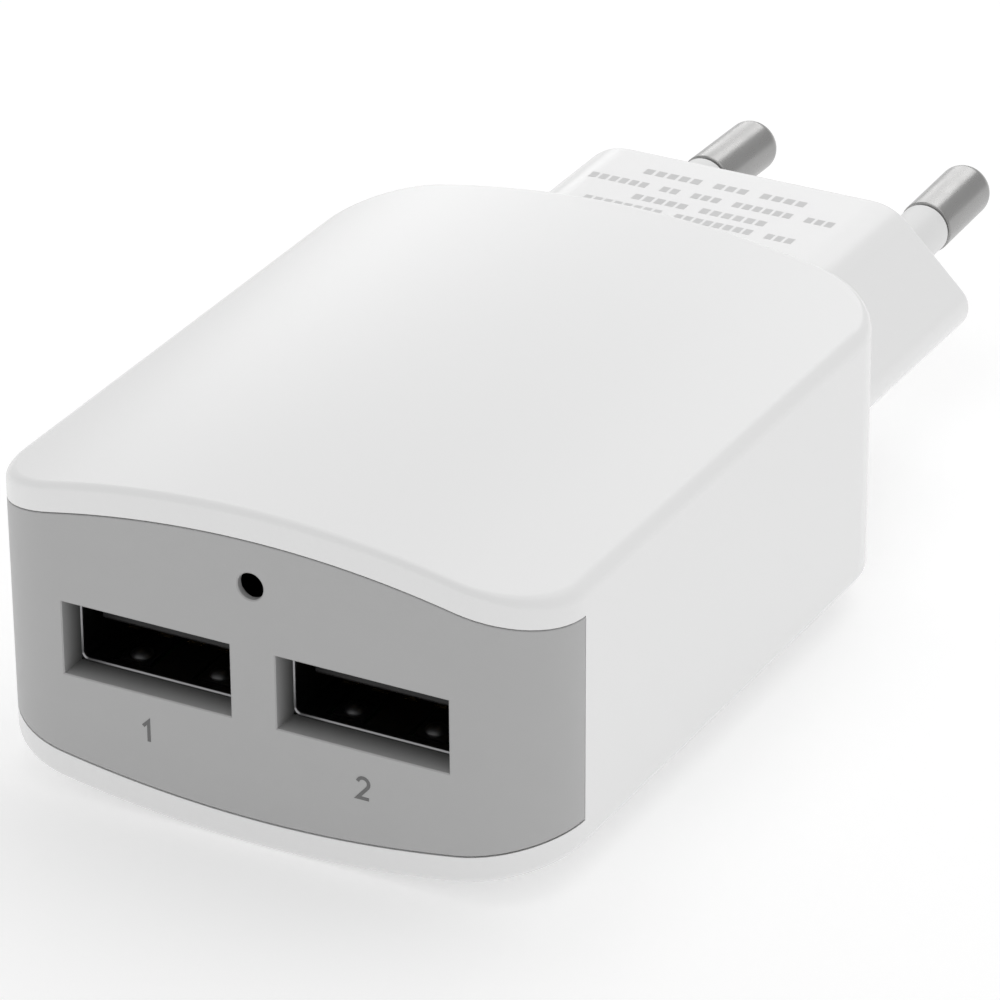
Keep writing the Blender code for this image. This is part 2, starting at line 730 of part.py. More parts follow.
def main_board(green):
    """Circuit board that slides into the casing's rails, narrower where the panel's tabs pass it."""
    neck = TAB_INNER_X - TOUCH_GAP
    neck_y = FRONT_Y + PANEL_REACH + TAB_LENGTH
    corner = CORNER_RADIUS - SIDE_WALL
    right = [(neck, BOARD_FRONT_Y), (neck, neck_y), (BOARD_SIDE_X, neck_y)]
    right += arc((BOARD_SIDE_X - corner, BOARD_REAR_Y - corner), corner, 0, 90, CORNER_STEPS)
    outline = right + [(-x, y) for x, y in reversed(right)]
    prism("main_board", outline, BOARD_LOW_Z, BOARD_TOP_Z, axis="Z", material=green)


def can_capacitor(name, x, y, size, material):
    """Electrolytic can standing on the board, with a crimp near its foot and a rounded rim."""
    radius, height = size[0] / 2, size[1]
    profile = [
        (0, 0),
        (radius - CAN_RIM, 0),
        (radius, CAN_RIM),
        (radius, CAN_CRIMP_HEIGHT - CAN_RIM),
        (radius - CAN_RIM, CAN_CRIMP_HEIGHT),
        (radius, CAN_CRIMP_HEIGHT + CAN_RIM),
        (radius, height - CAN_RIM),
        (radius - CAN_RIM, height),
        (0, height),
    ]
    can = turned(name, profile, material=material)
    can.location = (x, y, COMPONENT_Z)


def drum_choke(name, x, y, size, material):
    """Ferrite drum with its winding drawn as the narrower waist."""
    radius, height = size[0] / 2, size[1]
    waist = CHOKE_WAIST_DIAMETER / 2
    profile = [
        (0, 0),
        (radius, 0),
        (radius, CHOKE_FLANGE),
        (waist, CHOKE_FLANGE),
        (waist, height - CHOKE_FLANGE),
        (radius, height - CHOKE_FLANGE),
        (radius, height),
        (0, height),
    ]
    choke = turned(name, profile, SMALL_SIDES, material)
    choke.location = (x, y, COMPONENT_Z)


def chip(name, x, y, size, material):
    """Moulded package with drafted sides, on the board."""
    width, depth, height = size
    bm = bmesh.new()
    levels = ((0, PACKAGE_DRAFT), (height / 2, 0), (height, PACKAGE_DRAFT))
    rings = []
    for z, inset in levels:
        a, b = width / 2 - inset, depth / 2 - inset
        corners = ((-a, -b), (a, -b), (a, b), (-a, b))
        rings.append([bm.verts.new((i, j, z)) for i, j in corners])
    bm.faces.new(reversed(rings[0]))
    bm.faces.new(rings[-1])
    for lower, upper in zip(rings, rings[1:]):
        for i in range(4):
            j = (i + 1) % 4
            bm.faces.new((lower[i], lower[j], upper[j], upper[i]))
    package = add_object(name, bm, material)
    package.location = (x, y, COMPONENT_Z)


def block(name, y, size, low_z, high_z, material=None):
    """Box centred on X = 0 and on the given y, with size as its width and depth."""
    half_width, half_depth = size[0] / 2, size[1] / 2
    low = (-half_width, y - half_depth, low_z)
    return box(name, low, (half_width, y + half_depth, high_z), material)


def transformer(y, plastic, ferrite, tape):
    """Bobbin with two flanges, its taped winding, and a core of two E halves round both."""
    width, depth, height = BOBBIN
    foot_z = COMPONENT_Z
    head_z = COMPONENT_Z + height
    overlap = BOBBIN_FLANGE / 2
    flange_size = (width, depth)
    spool = block("transformer_bobbin", y, flange_size, foot_z, foot_z + BOBBIN_FLANGE, plastic)
    stem = block("bobbin_stem", y, BOBBIN_STEM, foot_z + overlap, head_z - overlap)
    top = block("bobbin_top", y, flange_size, head_z - BOBBIN_FLANGE, head_z)
    combine(spool, "UNION", [stem, top])

    wind_low = foot_z + BOBBIN_FLANGE + TOUCH_GAP
    wind_high = head_z - BOBBIN_FLANGE - TOUCH_GAP
    half_width, half_depth = width / 2 - WINDING_MARGIN, depth / 2 - WINDING_MARGIN
    corners = [
        (-half_width, y - half_depth),
        (half_width, y - half_depth),
        (half_width, y + half_depth),
        (-half_width, y + half_depth),
    ]
    outline = rounded_polygon(corners, [WINDING_CORNER] * 4)
    winding = prism(
        "transformer_winding", outline, wind_low, wind_high, axis="Z", material=tape, smooth_angle=30
    )
    hole_size = [side + 2 * TOUCH_GAP for side in BOBBIN_STEM]
    hole = block("winding_hole", y, hole_size, wind_low - CUT_MARGIN, wind_high + CUT_MARGIN)
    combine(winding, "DIFFERENCE", [hole])

    inner = width / 2 + TOUCH_GAP
    for label, side in SIDES:
        edges = sorted((side * inner, side * (inner + CORE_THICKNESS)))
        low = (edges[0], y - CORE_DEPTH / 2, foot_z)
        high = (edges[1], y + CORE_DEPTH / 2, head_z)
        box(f"transformer_core_{label}", low, high, ferrite)


def disc_capacitor(name, x, y, size, material):
    """Round disc standing on edge, facing along Y."""
    radius, thickness = size[0] / 2, size[1]
    rim = Y_CAPACITOR_RIM
    profile = [
        (0, -thickness / 2),
        (radius - rim, -thickness / 2),
        (radius, -thickness / 2 + rim),
        (radius, thickness / 2 - rim),
        (radius - rim, thickness / 2),
        (0, thickness / 2),
    ]
    disc = turned(name, profile, material=material)
    disc.location = (x, y, COMPONENT_Z + radius)
    disc.rotation_euler = (math.pi / 2, 0, 0)


def standing_resistor(name, x, y, size, material):
    """Fusible resistor standing on end, with fuller caps at both ends."""
    radius, height = size[0] / 2, size[1]
    waist = FUSE_WAIST_DIAMETER / 2
    shoulder = radius - waist
    cap = FUSE_CAP_LENGTH
    profile = [
        (0, 0),
        (waist - shoulder, 0),
        (radius, cap / 2),
        (radius, cap),
        (waist, cap + shoulder),
        (waist, height - cap - shoulder),
        (radius, height - cap),
        (radius, height - cap / 2),
        (waist - shoulder, height),
        (0, height),
    ]
    body = turned(name, profile, SMALL_SIDES, material)
    body.location = (x, y, COMPONENT_Z)


def indicator_led(material, metal):
    """Domed LED behind its hole in the panel, above the sockets, with two leads down to the board."""
    radius = LED_DIAMETER / 2
    flange = LED_FLANGE_DIAMETER / 2
    dome = arc((0, LED_LENGTH - radius), radius, 0, 90, 4)
    profile = [
        (0, 0),
        (flange, 0),
        (flange, LED_FLANGE_LENGTH),
        (radius, LED_FLANGE_LENGTH),
        *dome[:-1],
        (0, LED_LENGTH),
    ]
    led = turned("indicator_led", profile, SMALL_SIDES, material)
    led_z = MID_Z + LED_RISE
    base_y = SHELL_REAR_Y - LED_LEAD_DIAMETER
    led.location = (0, base_y, led_z)
    led.rotation_euler = (math.pi / 2, 0, 0)
    for label, side in SIDES:
        x = side * LED_LEAD_PITCH / 2
        drop_y = SHELL_REAR_Y + ROW_GAP
        bend = 2 * LED_LEAD_DIAMETER
        route = [(x, base_y + TOUCH_GAP, led_z)]
        for a, b in arc((drop_y - bend, led_z - bend), bend, 90, 0, 4):
            route.append((x, a, b))
        route.append((x, drop_y, COMPONENT_Z))
        lead(f"led_lead_{label}", route, metal)


def lead(name, route, material):
    """Round wire through the points of its route."""
    curve = bpy.data.curves.new(name, "CURVE")
    curve.dimensions = "3D"
    curve.bevel_depth = LED_LEAD_DIAMETER / 2
    curve.bevel_resolution = 2
    curve.use_fill_caps = True
    spline = curve.splines.new("POLY")
    spline.points.add(len(route) - 1)
    for point, place in zip(spline.points, route):
        point.co = (*place, 1.0)
    curve.materials.append(material)
    wire = bpy.data.objects.new(name, curve)
    bpy.context.scene.collection.objects.link(wire)


def components(looks):
    """Everything soldered to the board, in rows from the sockets back to the mains end."""
    output_y = SHELL_REAR_Y + ROW_GAP + OUTPUT_CAPACITOR[0] / 2
    strip_front_y = BOARD_REAR_Y - STRIP_THICKNESS - TOUCH_GAP
    rear_row_y = strip_front_y - ROW_GAP - INPUT_CAPACITOR[0] / 2
    output_end = output_y + OUTPUT_CAPACITOR[0] / 2
    rear_start = rear_row_y - INPUT_CAPACITOR[0] / 2
    middle_y = (output_end + rear_start) / 2
    output_x = PORT_PITCH / 2
    black = looks["black epoxy"]
    for number, side in ((1, -1), (2, 1)):
        name = f"output_capacitor_{number}"
        can_capacitor(name, side * output_x, output_y, OUTPUT_CAPACITOR, looks["output can"])
    chip("output_diode", -BOARD_EDGE_X + OUTPUT_DIODE[0] / 2, output_y, OUTPUT_DIODE, black)

    transformer(middle_y, looks["bobbin"], looks["ferrite"], looks["tape"])
    outer = BOBBIN[0] / 2 + TOUCH_GAP + CORE_THICKNESS + ROW_GAP
    disc_x = outer + Y_CAPACITOR[0] / 2
    disc_capacitor("y_capacitor", disc_x, middle_y - Y_CAPACITOR[1], Y_CAPACITOR, looks["disc blue"])
    opto_x = -outer - OPTOCOUPLER[0] / 2
    chip("optocoupler", opto_x, middle_y, OPTOCOUPLER, looks["opto white"])
    controller_y = middle_y + CONTROLLER[1] / 2 + ROW_GAP
    chip("controller_chip", outer + CONTROLLER[0] / 2, controller_y, CONTROLLER, black)

    drum_choke("input_choke", 0.0, rear_row_y, CHOKE, looks["choke"])
    capacitor_x = CHOKE[0] / 2 + ROW_GAP + INPUT_CAPACITOR[0] / 2
    for number, side in ((1, -1), (2, 1)):
        name = f"input_capacitor_{number}"
        can_capacitor(name, side * capacitor_x, rear_row_y, INPUT_CAPACITOR, looks["input can"])
    chip("bridge_rectifier", BOARD_EDGE_X - RECTIFIER[0] / 2, rear_row_y, RECTIFIER, black)
    fuse_x = -BOARD_EDGE_X + FUSE_RESISTOR[0] / 2
    standing_resistor("fuse_resistor", fuse_x, rear_row_y, FUSE_RESISTOR, looks["resistor"])


# ---------------------------------------------------------------- assembly


def make_looks():
    return {
        "white": make_material("gloss white plastic", (0.86, 0.86, 0.86), 0.25),
        "grey": make_material("satin grey plastic", (0.34, 0.34, 0.34), 0.45),
        "sleeve": make_material("sleeve plastic", (0.80, 0.80, 0.80), 0.45),
        "pin": make_material("nickel plated brass", (0.62, 0.61, 0.60), 0.30, 1.0),
        "carrier": make_material("carrier plastic", (0.75, 0.75, 0.72), 0.5),
        "bronze": make_material("phosphor bronze", (0.75, 0.52, 0.33), 0.35, 1.0),
        "shell": make_material("plated steel", (0.65, 0.65, 0.66), 0.28, 1.0),
        "black": make_material("black nylon", (0.02, 0.02, 0.02), 0.5),
        "gold": make_material("gold plate", (0.90, 0.68, 0.30), 0.25, 1.0),
        "board": make_material("circuit board", (0.05, 0.22, 0.08), 0.5),
        "output can": make_material("green can", (0.03, 0.16, 0.10), 0.3),
        "input can": make_material("black can", (0.03, 0.03, 0.05), 0.3),
        "choke": make_material("shrink tube", (0.02, 0.02, 0.02), 0.6),
        "bobbin": make_material("bobbin plastic", (0.05, 0.05, 0.05), 0.5),
        "ferrite": make_material("ferrite", (0.06, 0.06, 0.065), 0.65),
        "tape": make_material("winding tape", (0.85, 0.65, 0.10), 0.35),
        "disc blue": make_material("disc epoxy", (0.05, 0.20, 0.55), 0.35),
        "black epoxy": make_material("black epoxy", (0.025, 0.025, 0.025), 0.5),
        "opto white": make_material("pale epoxy", (0.70, 0.70, 0.66), 0.5),
        "resistor": make_material("resistor lacquer", (0.25, 0.45, 0.30), 0.4),
        "led": make_material("led resin", (0.85, 0.85, 0.90), 0.1),
        "tin": make_material("tinned wire", (0.70, 0.70, 0.70), 0.35, 1.0),
    }


def build():
    clear_scene()
    looks = make_looks()
    housing(looks["white"])
    front_panel(looks["grey"])
    for label, side in SIDES:
        pin(f"pin_{label}", side, looks["pin"])
        sleeve(f"sleeve_{label}", side, looks["sleeve"])
        mains_strip(f"mains_strip_{label}", side, looks["bronze"])
        x = side * PORT_PITCH / 2
        usb_shell(f"usb_shell_{label}", x, looks["shell"])
        usb_insulator(f"usb_insulator_{label}", x, looks["black"])
        for number in range(CONTACT_COUNT):
            offset = (number - (CONTACT_COUNT - 1) / 2) * CONTACT_PITCH
            usb_contact(f"usb_contact_{label}_{number + 1}", x + offset, looks["gold"])
    pin_carrier(looks["carrier"])
    main_board(looks["board"])
    components(looks)
    indicator_led(looks["led"], looks["tin"])


build()
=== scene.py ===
"""Fine surfaces, finishes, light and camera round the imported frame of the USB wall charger."""

import json
import math

import bmesh
import bpy
from mathutils import Matrix, Vector


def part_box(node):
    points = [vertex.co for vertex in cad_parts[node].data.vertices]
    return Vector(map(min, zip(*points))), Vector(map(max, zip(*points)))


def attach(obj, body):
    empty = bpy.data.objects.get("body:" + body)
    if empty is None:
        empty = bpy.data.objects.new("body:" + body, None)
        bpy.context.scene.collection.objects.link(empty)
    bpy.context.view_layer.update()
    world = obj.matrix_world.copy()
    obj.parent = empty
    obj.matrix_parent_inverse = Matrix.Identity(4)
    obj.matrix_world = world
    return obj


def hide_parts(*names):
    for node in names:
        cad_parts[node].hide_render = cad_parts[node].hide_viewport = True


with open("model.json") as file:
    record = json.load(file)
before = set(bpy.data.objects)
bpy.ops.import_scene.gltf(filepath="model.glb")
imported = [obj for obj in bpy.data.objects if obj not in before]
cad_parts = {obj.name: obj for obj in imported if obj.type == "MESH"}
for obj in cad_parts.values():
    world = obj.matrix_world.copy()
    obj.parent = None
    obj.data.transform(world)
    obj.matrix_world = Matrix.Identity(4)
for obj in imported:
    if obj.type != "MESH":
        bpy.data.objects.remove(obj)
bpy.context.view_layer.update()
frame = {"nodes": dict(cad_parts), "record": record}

SIDES = (("left", -1), ("right", 1))

# ---------------------------------------------------------------- sizes of the outside, in metres

HOUSING_LOW, HOUSING_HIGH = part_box("housing")
BODY_WIDTH = 0.0420  # at the top; the sides lean in below
BODY_HEIGHT = HOUSING_HIGH.z - HOUSING_LOW.z
FRONT_Y = HOUSING_LOW.y
NECK_END_Y = HOUSING_HIGH.y
MID_Z = (HOUSING_HIGH.z + HOUSING_LOW.z) / 2
BODY_DEPTH = 0.0524
BODY_REAR_Y = FRONT_Y + BODY_DEPTH
SIDE_DRAFT = 0.00015  # lean of each side from the top down
CORNER_RADIUS = 0.0062
CROWN_DROP_TOP = 0.0030  # fall of each broad face from its middle to its sides
CROWN_DROP_BOTTOM = 0.0026
TOP_SIDE_FILLET = 0.0009
BOTTOM_SIDE_FILLET = 0.0007
END_FILLET = 0.0005
SIDE_WALL = 0.0018
BROAD_WALL = 0.0024
REAR_WALL = 0.0020

NECK_WIDTH = 0.0366
NECK_TOP_WIDTH = 0.0229
NECK_HEIGHT = 0.0137
NECK_TOP_RADIUS = 0.0040
NECK_SIDE_RADIUS = 0.0018
NECK_LEAST_RADIUS = 0.0005
NECK_WALL = 0.0019
NECK_END_WALL = 0.0026
NECK_EDGE_FILLET = 0.0005
NECK_ROOT_FILLET = 0.0005

PANEL_WALL = 0.0014
PANEL_REACH = 0.0060  # depth of its sides, from the front
LIP_HEIGHT = 0.00205  # casing over the panel
RIM_HEIGHT = 0.00196  # casing under the panel
PANEL_EDGE_FILLET = 0.00008
SEAM_GAP = 0.0001
PANEL_END_Y = FRONT_Y + PANEL_REACH - SEAM_GAP
WINDOW_WIDTH = 0.0126
WINDOW_HEIGHT = 0.0053
WINDOWS_HALF_SPAN = 0.0146  # from the middle to just beyond the windows, where the panel's painted shade is kept
WINDOW_COLLAR = 0.0010
COLLAR_GAP = 0.00008
RIM_CHAMFER = 0.00008
LED_HOLE_DIAMETER = 0.0019
LED_RELIEF_DIAMETER = 0.0034
LED_SKIN = 0.0005
LED_RISE = 0.0069  # above the middle of the body
TAB_LENGTH = 0.0040
TAB_HEIGHT = 0.0070
TAB_THICKNESS = 0.0009

PIN_DIAMETER = 0.0040
PIN_CORE_DIAMETER = 0.0028
PIN_LENGTH = 0.0190
PIN_SPACING_BASE = 0.0186
PIN_SPACING_TIP = 0.0175
PIN_TIP_RADIUS = 0.0012
PIN_SHOULDER_EDGE = 0.00012
PIN_LEAN = math.atan((PIN_SPACING_BASE - PIN_SPACING_TIP) / 2 / PIN_LENGTH)
SLEEVE_LENGTH = 0.0105
SLEEVE_DIAMETER = 0.0038
SLEEVE_FLANGE_DIAMETER = 0.0060
SLEEVE_FLANGE_LENGTH = 0.0010
SLEEVE_GAP = 0.00015
SLEEVE_END_EDGE = 0.0001
EDGE_BEND = 0.3  # inset of a broken edge at its bend, as a share of its width

SHELL_WALL = 0.0003
SHELL_CORNER = 0.0007
SHELL_EDGE = SHELL_WALL * 0.3
SPRING_WINDOW_WIDTH = 0.0030
SPRING_WINDOW_LENGTH = 0.0060
SPRING_WINDOW_START = 0.0008
SPRING_SPACING = 0.0060
SPRING_WIDTH = 0.0023
SPRING_LIFT = SHELL_WALL * 0.6
DIMPLE_RADIUS = 0.0008
DIMPLE_HEIGHT = 0.00042
DIMPLE_SETBACK = 0.0021
TONGUE_WIDTH = 0.0111
TONGUE_THICKNESS = 0.00184
TONGUE_EDGE = 0.00025
TONGUE_ROOT = 0.001  # length inside the block

TOUCH_GAP = 0.0003
CUT_MARGIN = 0.0020

CORNER_STEPS = 14
CROWN_STEPS = 18
FILLET_STEPS = 6
PANEL_EDGE_STEPS = 3
NECK_CORNER_STEPS = 10
SHELL_CORNER_STEPS = 6
PIN_TIP_STEPS = 12
SPRING_STEPS = 12
DIMPLE_STEPS = 6
DIMPLE_SIDES = 32
ROUND_SIDES = 64
SHARP_DEGREES = 32  # faces that meet at more than this keep a sharp edge


def crown(x):
    """How far a broad face has curved away at x, from 0 along its middle to 1 at the sides."""
    return (x / (BODY_WIDTH / 2)) ** 2


def crown_top(x):
    """Height of the upper broad face at x."""
    return BODY_HEIGHT - CROWN_DROP_TOP * crown(x)


def crown_bottom(x):
    """Height of the lower broad face at x."""
    return CROWN_DROP_BOTTOM * crown(x)


def side_scale(z):
    """Width at height z as a share of the width at the top, from the draft of the sides."""
    return 1 - SIDE_DRAFT / (BODY_WIDTH / 2) * (BODY_HEIGHT - z) / BODY_HEIGHT


# ---------------------------------------------------------------- mesh helpers


def add_object(name, bm):
    """Put a finished bmesh in the scene as an object."""
    bmesh.ops.recalc_face_normals(bm, faces=bm.faces)
    mesh = bpy.data.meshes.new(name)
    bm.to_mesh(mesh)
    bm.free()
    obj = bpy.data.objects.new(name, mesh)
    bpy.context.scene.collection.objects.link(obj)
    return obj


def combine(target, operation, others):
    """Boolean the other objects into the target for good, and remove them."""
    for other in others:
        modifier = target.modifiers.new(other.name, "BOOLEAN")
        modifier.operation = operation
        modifier.solver = "EXACT"
        modifier.object = other
    depsgraph = bpy.context.evaluated_depsgraph_get()
    mesh = bpy.data.meshes.new_from_object(target.evaluated_get(depsgraph))
    target.modifiers.clear()
    target.data = mesh
    for other in others:
        bpy.data.objects.remove(other, do_unlink=True)


def skin_rings(bm, rings):
    """Faces between rings of equal point counts; gives back the rings' vertices."""
    made = [[bm.verts.new(point) for point in ring] for ring in rings]
    count = len(made[0])
    for lower, upper in zip(made, made[1:]):
        for i in range(count):
            j = (i + 1) % count
            bm.faces.new((lower[i], lower[j], upper[j], upper[i]))
    return made


def loft(name, rings):
    """Closed skin through rings, with a flat face over each end."""
    bm = bmesh.new()
    made = skin_rings(bm, rings)
    bm.faces.new(made[0])
    bm.faces.new(reversed(made[-1]))
    return add_object(name, bm)


def box(name, low, high):
    """Plain box between two corners."""
    (x0, y0, z0), (x1, y1, z1) = low, high
    rings = [[(x0, y0, z), (x1, y0, z), (x1, y1, z), (x0, y1, z)] for z in (z0, z1)]
    return loft(name, rings)


def turned(name, profile, sides=ROUND_SIDES):
    """Turn a profile of (radius, height) points about the local Z axis.

    A profile that starts and ends on the axis gives a solid, and any other gives a ring.
    """
    solid = profile[0][0] == 0 and profile[-1][0] == 0
    bm = bmesh.new()
    angles = [2 * math.pi * i / sides for i in range(sides)]
    rings = []
    for radius, height in profile:
        if radius == 0:
            rings.append([bm.verts.new((0, 0, height))])
            continue
        places = [(radius * math.cos(a), radius * math.sin(a), height) for a in angles]
        rings.append([bm.verts.new(place) for place in places])
    pairs = list(zip(rings, rings[1:]))
    if not solid:
        pairs.append((rings[-1], rings[0]))
    for lower, upper in pairs:
        for i in range(sides):
            j = (i + 1) % sides
            corners = [lower[i % len(lower)], lower[j % len(lower)]]
            corners += [upper[j % len(upper)], upper[i % len(upper)]]
            bm.faces.new(dict.fromkeys(corners))
    return add_object(name, bm)


def arc(centre, radius, start, end, steps):
    """Points along an arc between two angles in degrees."""
    points = []
    for i in range(steps + 1):
        angle = math.radians(start + (end - start) * i / steps)
        points.append((centre[0] + radius * math.cos(angle), centre[1] + radius * math.sin(angle)))
    return points


def quarter_turn(steps):
    """Angles from 0 to a right angle, in radians."""
    return [math.radians(90 * i / steps) for i in range(steps + 1)]


def rounded_polygon(corners, radii, steps):
    """Outline of a polygon whose corners are rounded by the given radii."""
    points = []
    count = len(corners)
    for i, (corner, radius) in enumerate(zip(corners, radii)):
        corner = Vector(corner)
        back = (Vector(corners[i - 1]) - corner).normalized()
        ahead = (Vector(corners[(i + 1) % count]) - corner).normalized()
        half = back.angle(ahead) / 2
        middle = corner + (back + ahead).normalized() * radius / math.sin(half)
        start = corner + back * radius / math.tan(half) - middle
        sweep = start.angle_signed(corner + ahead * radius / math.tan(half) - middle)
        for k in range(steps + 1):
            turn = -sweep * k / steps
            cos, sin = math.cos(turn), math.sin(turn)
            x = middle.x + start.x * cos - start.y * sin
            y = middle.y + start.x * sin + start.y * cos
            points.append((x, y))
    return points


def finish_piece(obj, material, replaced, sharp=SHARP_DEGREES):
    """Smooth shading with flat faces kept flat, a finish, and a place on the body."""
    obj.data.materials.clear()
    obj.data.materials.append(material)
    obj.data.shade_smooth()
    obj.data.set_sharp_from_angle(angle=math.radians(sharp))
    modifier = obj.modifiers.new("face weights", "WEIGHTED_NORMAL")
    modifier.keep_sharp = True
    modifier.weight = 100
    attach(obj, "root")
    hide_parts(*replaced)
    return obj


# ---------------------------------------------------------------- casing


def plan_front(half_width, radius, end_y=None):
    """Front of the body's plan from left to right, as (x, y, normal x, normal y), y from the front.

    Each corner runs through its whole quarter turn, or as far back as end_y if that comes first.
    """
    straight = half_width - radius
    middle = [(straight * (i + 0.5) / CROWN_STEPS, 0.0, 0.0, -1.0) for i in range(CROWN_STEPS)]
    last = math.pi / 2 if end_y is None or end_y >= radius else math.acos(1 - end_y / radius)
    corner = []
    for i in range(CORNER_STEPS + 1):
        turn = last * i / CORNER_STEPS
        nx, ny = math.sin(turn), -math.cos(turn)
        corner.append((straight + radius * nx, radius + radius * ny, nx, ny))
    right = middle + corner
    return [(-x, y, -nx, ny) for x, y, nx, ny in reversed(right)] + right


def crowned_block(name, half_width, depth, radius, top, bottom, front_y, fillets=(0.0, 0.0, 0.0)):
    """A block with rounded upright corners between two crowned faces.

    The fillets are those of the top edge along the sides, the bottom edge along the sides, and
    both edges at the ends.
    """
    front = plan_front(half_width, radius)
    plan = front + [(x, depth - y, nx, -ny) for x, y, nx, ny in reversed(front)]
    top_fillet, bottom_fillet, end_fillet = fillets
    angles = quarter_turn(FILLET_STEPS) if any(fillets) else [math.radians(90)]
    levels = [(angle, bottom, bottom_fillet, 1) for angle in angles]
    levels += [(angle, top, top_fillet, -1) for angle in reversed(angles)]
    rings = []
    for angle, face, side_fillet, up in levels:
        ring = []
        for x, y, nx, ny in plan:
            fillet = side_fillet * nx * nx + end_fillet * ny * ny
            inset = fillet * (1 - math.sin(angle))
            px = x - nx * inset
            z = face(px) + up * fillet * (1 - math.cos(angle))
            ring.append((px * side_scale(z), front_y + y - ny * inset, z))
        rings.append(ring)
    bm = bmesh.new()
    made = skin_rings(bm, rings)
    count = len(plan)
    for ring in (made[0], made[-1]):
        for i in range(count // 2 - 1):
            bm.faces.new((ring[i], ring[i + 1], ring[count - 2 - i], ring[count - 1 - i]))
    return add_object(name, bm)


def neck_outline(wall):
    """Outline of the plug neck along Y, made smaller by wall, or larger where wall is negative."""
    half_height = NECK_HEIGHT / 2
    run = NECK_WIDTH / 2 - NECK_TOP_WIDTH / 2
    slant = math.hypot(run, half_height)
    inner_height = half_height - wall
    side_x = NECK_WIDTH / 2 - wall * slant / half_height
    top_x = side_x - inner_height * run / half_height
    corners = [
        (-top_x, inner_height),
        (top_x, inner_height),
        (side_x, 0.0),
        (top_x, -inner_height),
        (-top_x, -inner_height),
        (-side_x, 0.0),
    ]
    top_radius = NECK_TOP_RADIUS - wall
    side_radius = max(NECK_SIDE_RADIUS - wall, NECK_LEAST_RADIUS)
    radii = [top_radius, top_radius, side_radius, top_radius, top_radius, side_radius]
    return [(x, z + MID_Z) for x, z in rounded_polygon(corners, radii, NECK_CORNER_STEPS)]


def neck_ring(y, wall):
    """The neck's outline as a ring at depth y."""
    return [(x, y, z) for x, z in neck_outline(wall)]


def neck_form():
    """The plug neck: a small flare where it leaves the body and a rounded edge round its end face."""
    bends = [(1 - math.cos(angle), 1 - math.sin(angle)) for angle in quarter_turn(FILLET_STEPS)]
    flare = [(BODY_REAR_Y + NECK_ROOT_FILLET * u, -NECK_ROOT_FILLET * v) for u, v in bends]
    edge = [(NECK_END_Y - NECK_EDGE_FILLET * u, NECK_EDGE_FILLET * v) for u, v in reversed(bends)]
    root = (BODY_REAR_Y - REAR_WALL / 2, -NECK_ROOT_FILLET)
    return loft("neck_form", [neck_ring(y, wall) for y, wall in [root, *flare, *edge]])


def place_on_pin(obj, side):
    """Lay a piece turned about Z along the pin's leaning axis, its local zero on the neck's end face."""
    turn = Matrix.Rotation(side * PIN_LEAN, 4, "Z") @ Matrix.Rotation(-math.pi / 2, 4, "X")
    place = Matrix.Translation((side * PIN_SPACING_BASE / 2, NECK_END_Y, MID_Z))
    obj.data.transform(place @ turn)
    return obj


def housing():
    """Casing and neck in one, hollow, with a rebate for the panel and a hole for each sleeve."""
    half = BODY_WIDTH / 2
    shell = crowned_block(
        "casing",
        half,
        BODY_DEPTH,
        CORNER_RADIUS,
        crown_top,
        crown_bottom,
        FRONT_Y,
        (TOP_SIDE_FILLET, BOTTOM_SIDE_FILLET, END_FILLET),
    )
    combine(shell, "UNION", [neck_form()])
    cavity_front = FRONT_Y - CORNER_RADIUS - CUT_MARGIN
    cavity = crowned_block(
        "cavity_cut",
        half - SIDE_WALL,
        BODY_REAR_Y - REAR_WALL - cavity_front,
        CORNER_RADIUS - SIDE_WALL,
        lambda x: crown_top(x) - BROAD_WALL,
        lambda x: crown_bottom(x) + BROAD_WALL,
        cavity_front,
    )
    pocket = crowned_block(
        "panel_cut",
        half + CORNER_RADIUS,
        FRONT_Y + PANEL_REACH - cavity_front,
        CORNER_RADIUS / 2,
        lambda x: crown_top(x) - LIP_HEIGHT,
        lambda x: crown_bottom(x) + RIM_HEIGHT,
        cavity_front,
    )
    hollow_ends = (BODY_REAR_Y - REAR_WALL - CUT_MARGIN, NECK_END_Y - NECK_END_WALL)
    hollow = loft("neck_cut", [neck_ring(y, NECK_WALL) for y in hollow_ends])
    radius = SLEEVE_DIAMETER / 2 + SLEEVE_GAP
    low = -NECK_END_WALL - CUT_MARGIN
    hole_profile = [(0, low), (radius, low), (radius, CUT_MARGIN), (0, CUT_MARGIN)]
    holes = []
    for label, side in SIDES:
        holes.append(place_on_pin(turned(f"pin_hole_{label}", hole_profile), side))
    combine(shell, "DIFFERENCE", [cavity, pocket, hollow, *holes])
    return finish_piece(shell, casing_white, ["housing"])


# ---------------------------------------------------------------- front panel


def panel_skin():
    """U-shaped wall along the body's plan, its upper and lower edges a seam away from the casing."""
    half = BODY_WIDTH / 2
    end_y = PANEL_REACH - SEAM_GAP
    plan = plan_front(half, CORNER_RADIUS, end_y)
    if end_y > CORNER_RADIUS:
        plan = [(-half, end_y, -1.0, 0.0)] + plan + [(half, end_y, 1.0, 0.0)]
    edge = PANEL_EDGE_FILLET
    angles = quarter_turn(PANEL_EDGE_STEPS)
    bends = [(edge * (1 - math.sin(angle)), edge * (1 - math.cos(angle))) for angle in angles]
    section = [(depth, False, lift) for depth, lift in bends]
    section += [(depth, True, -lift) for depth, lift in reversed(bends)]
    section += [(PANEL_WALL, True, 0.0), (PANEL_WALL, False, 0.0)]
    rings = []
    for x, y, nx, ny in plan:
        ring = []
        for depth, upper, lift in section:
            px, py = x - nx * depth, y - ny * depth
            if upper:
                z = crown_top(px) - LIP_HEIGHT - SEAM_GAP
            else:
                z = crown_bottom(px) + RIM_HEIGHT + SEAM_GAP
            ring.append((px * side_scale(z), FRONT_Y + py, z + lift))
        rings.append(ring)
    return loft("panel", rings)


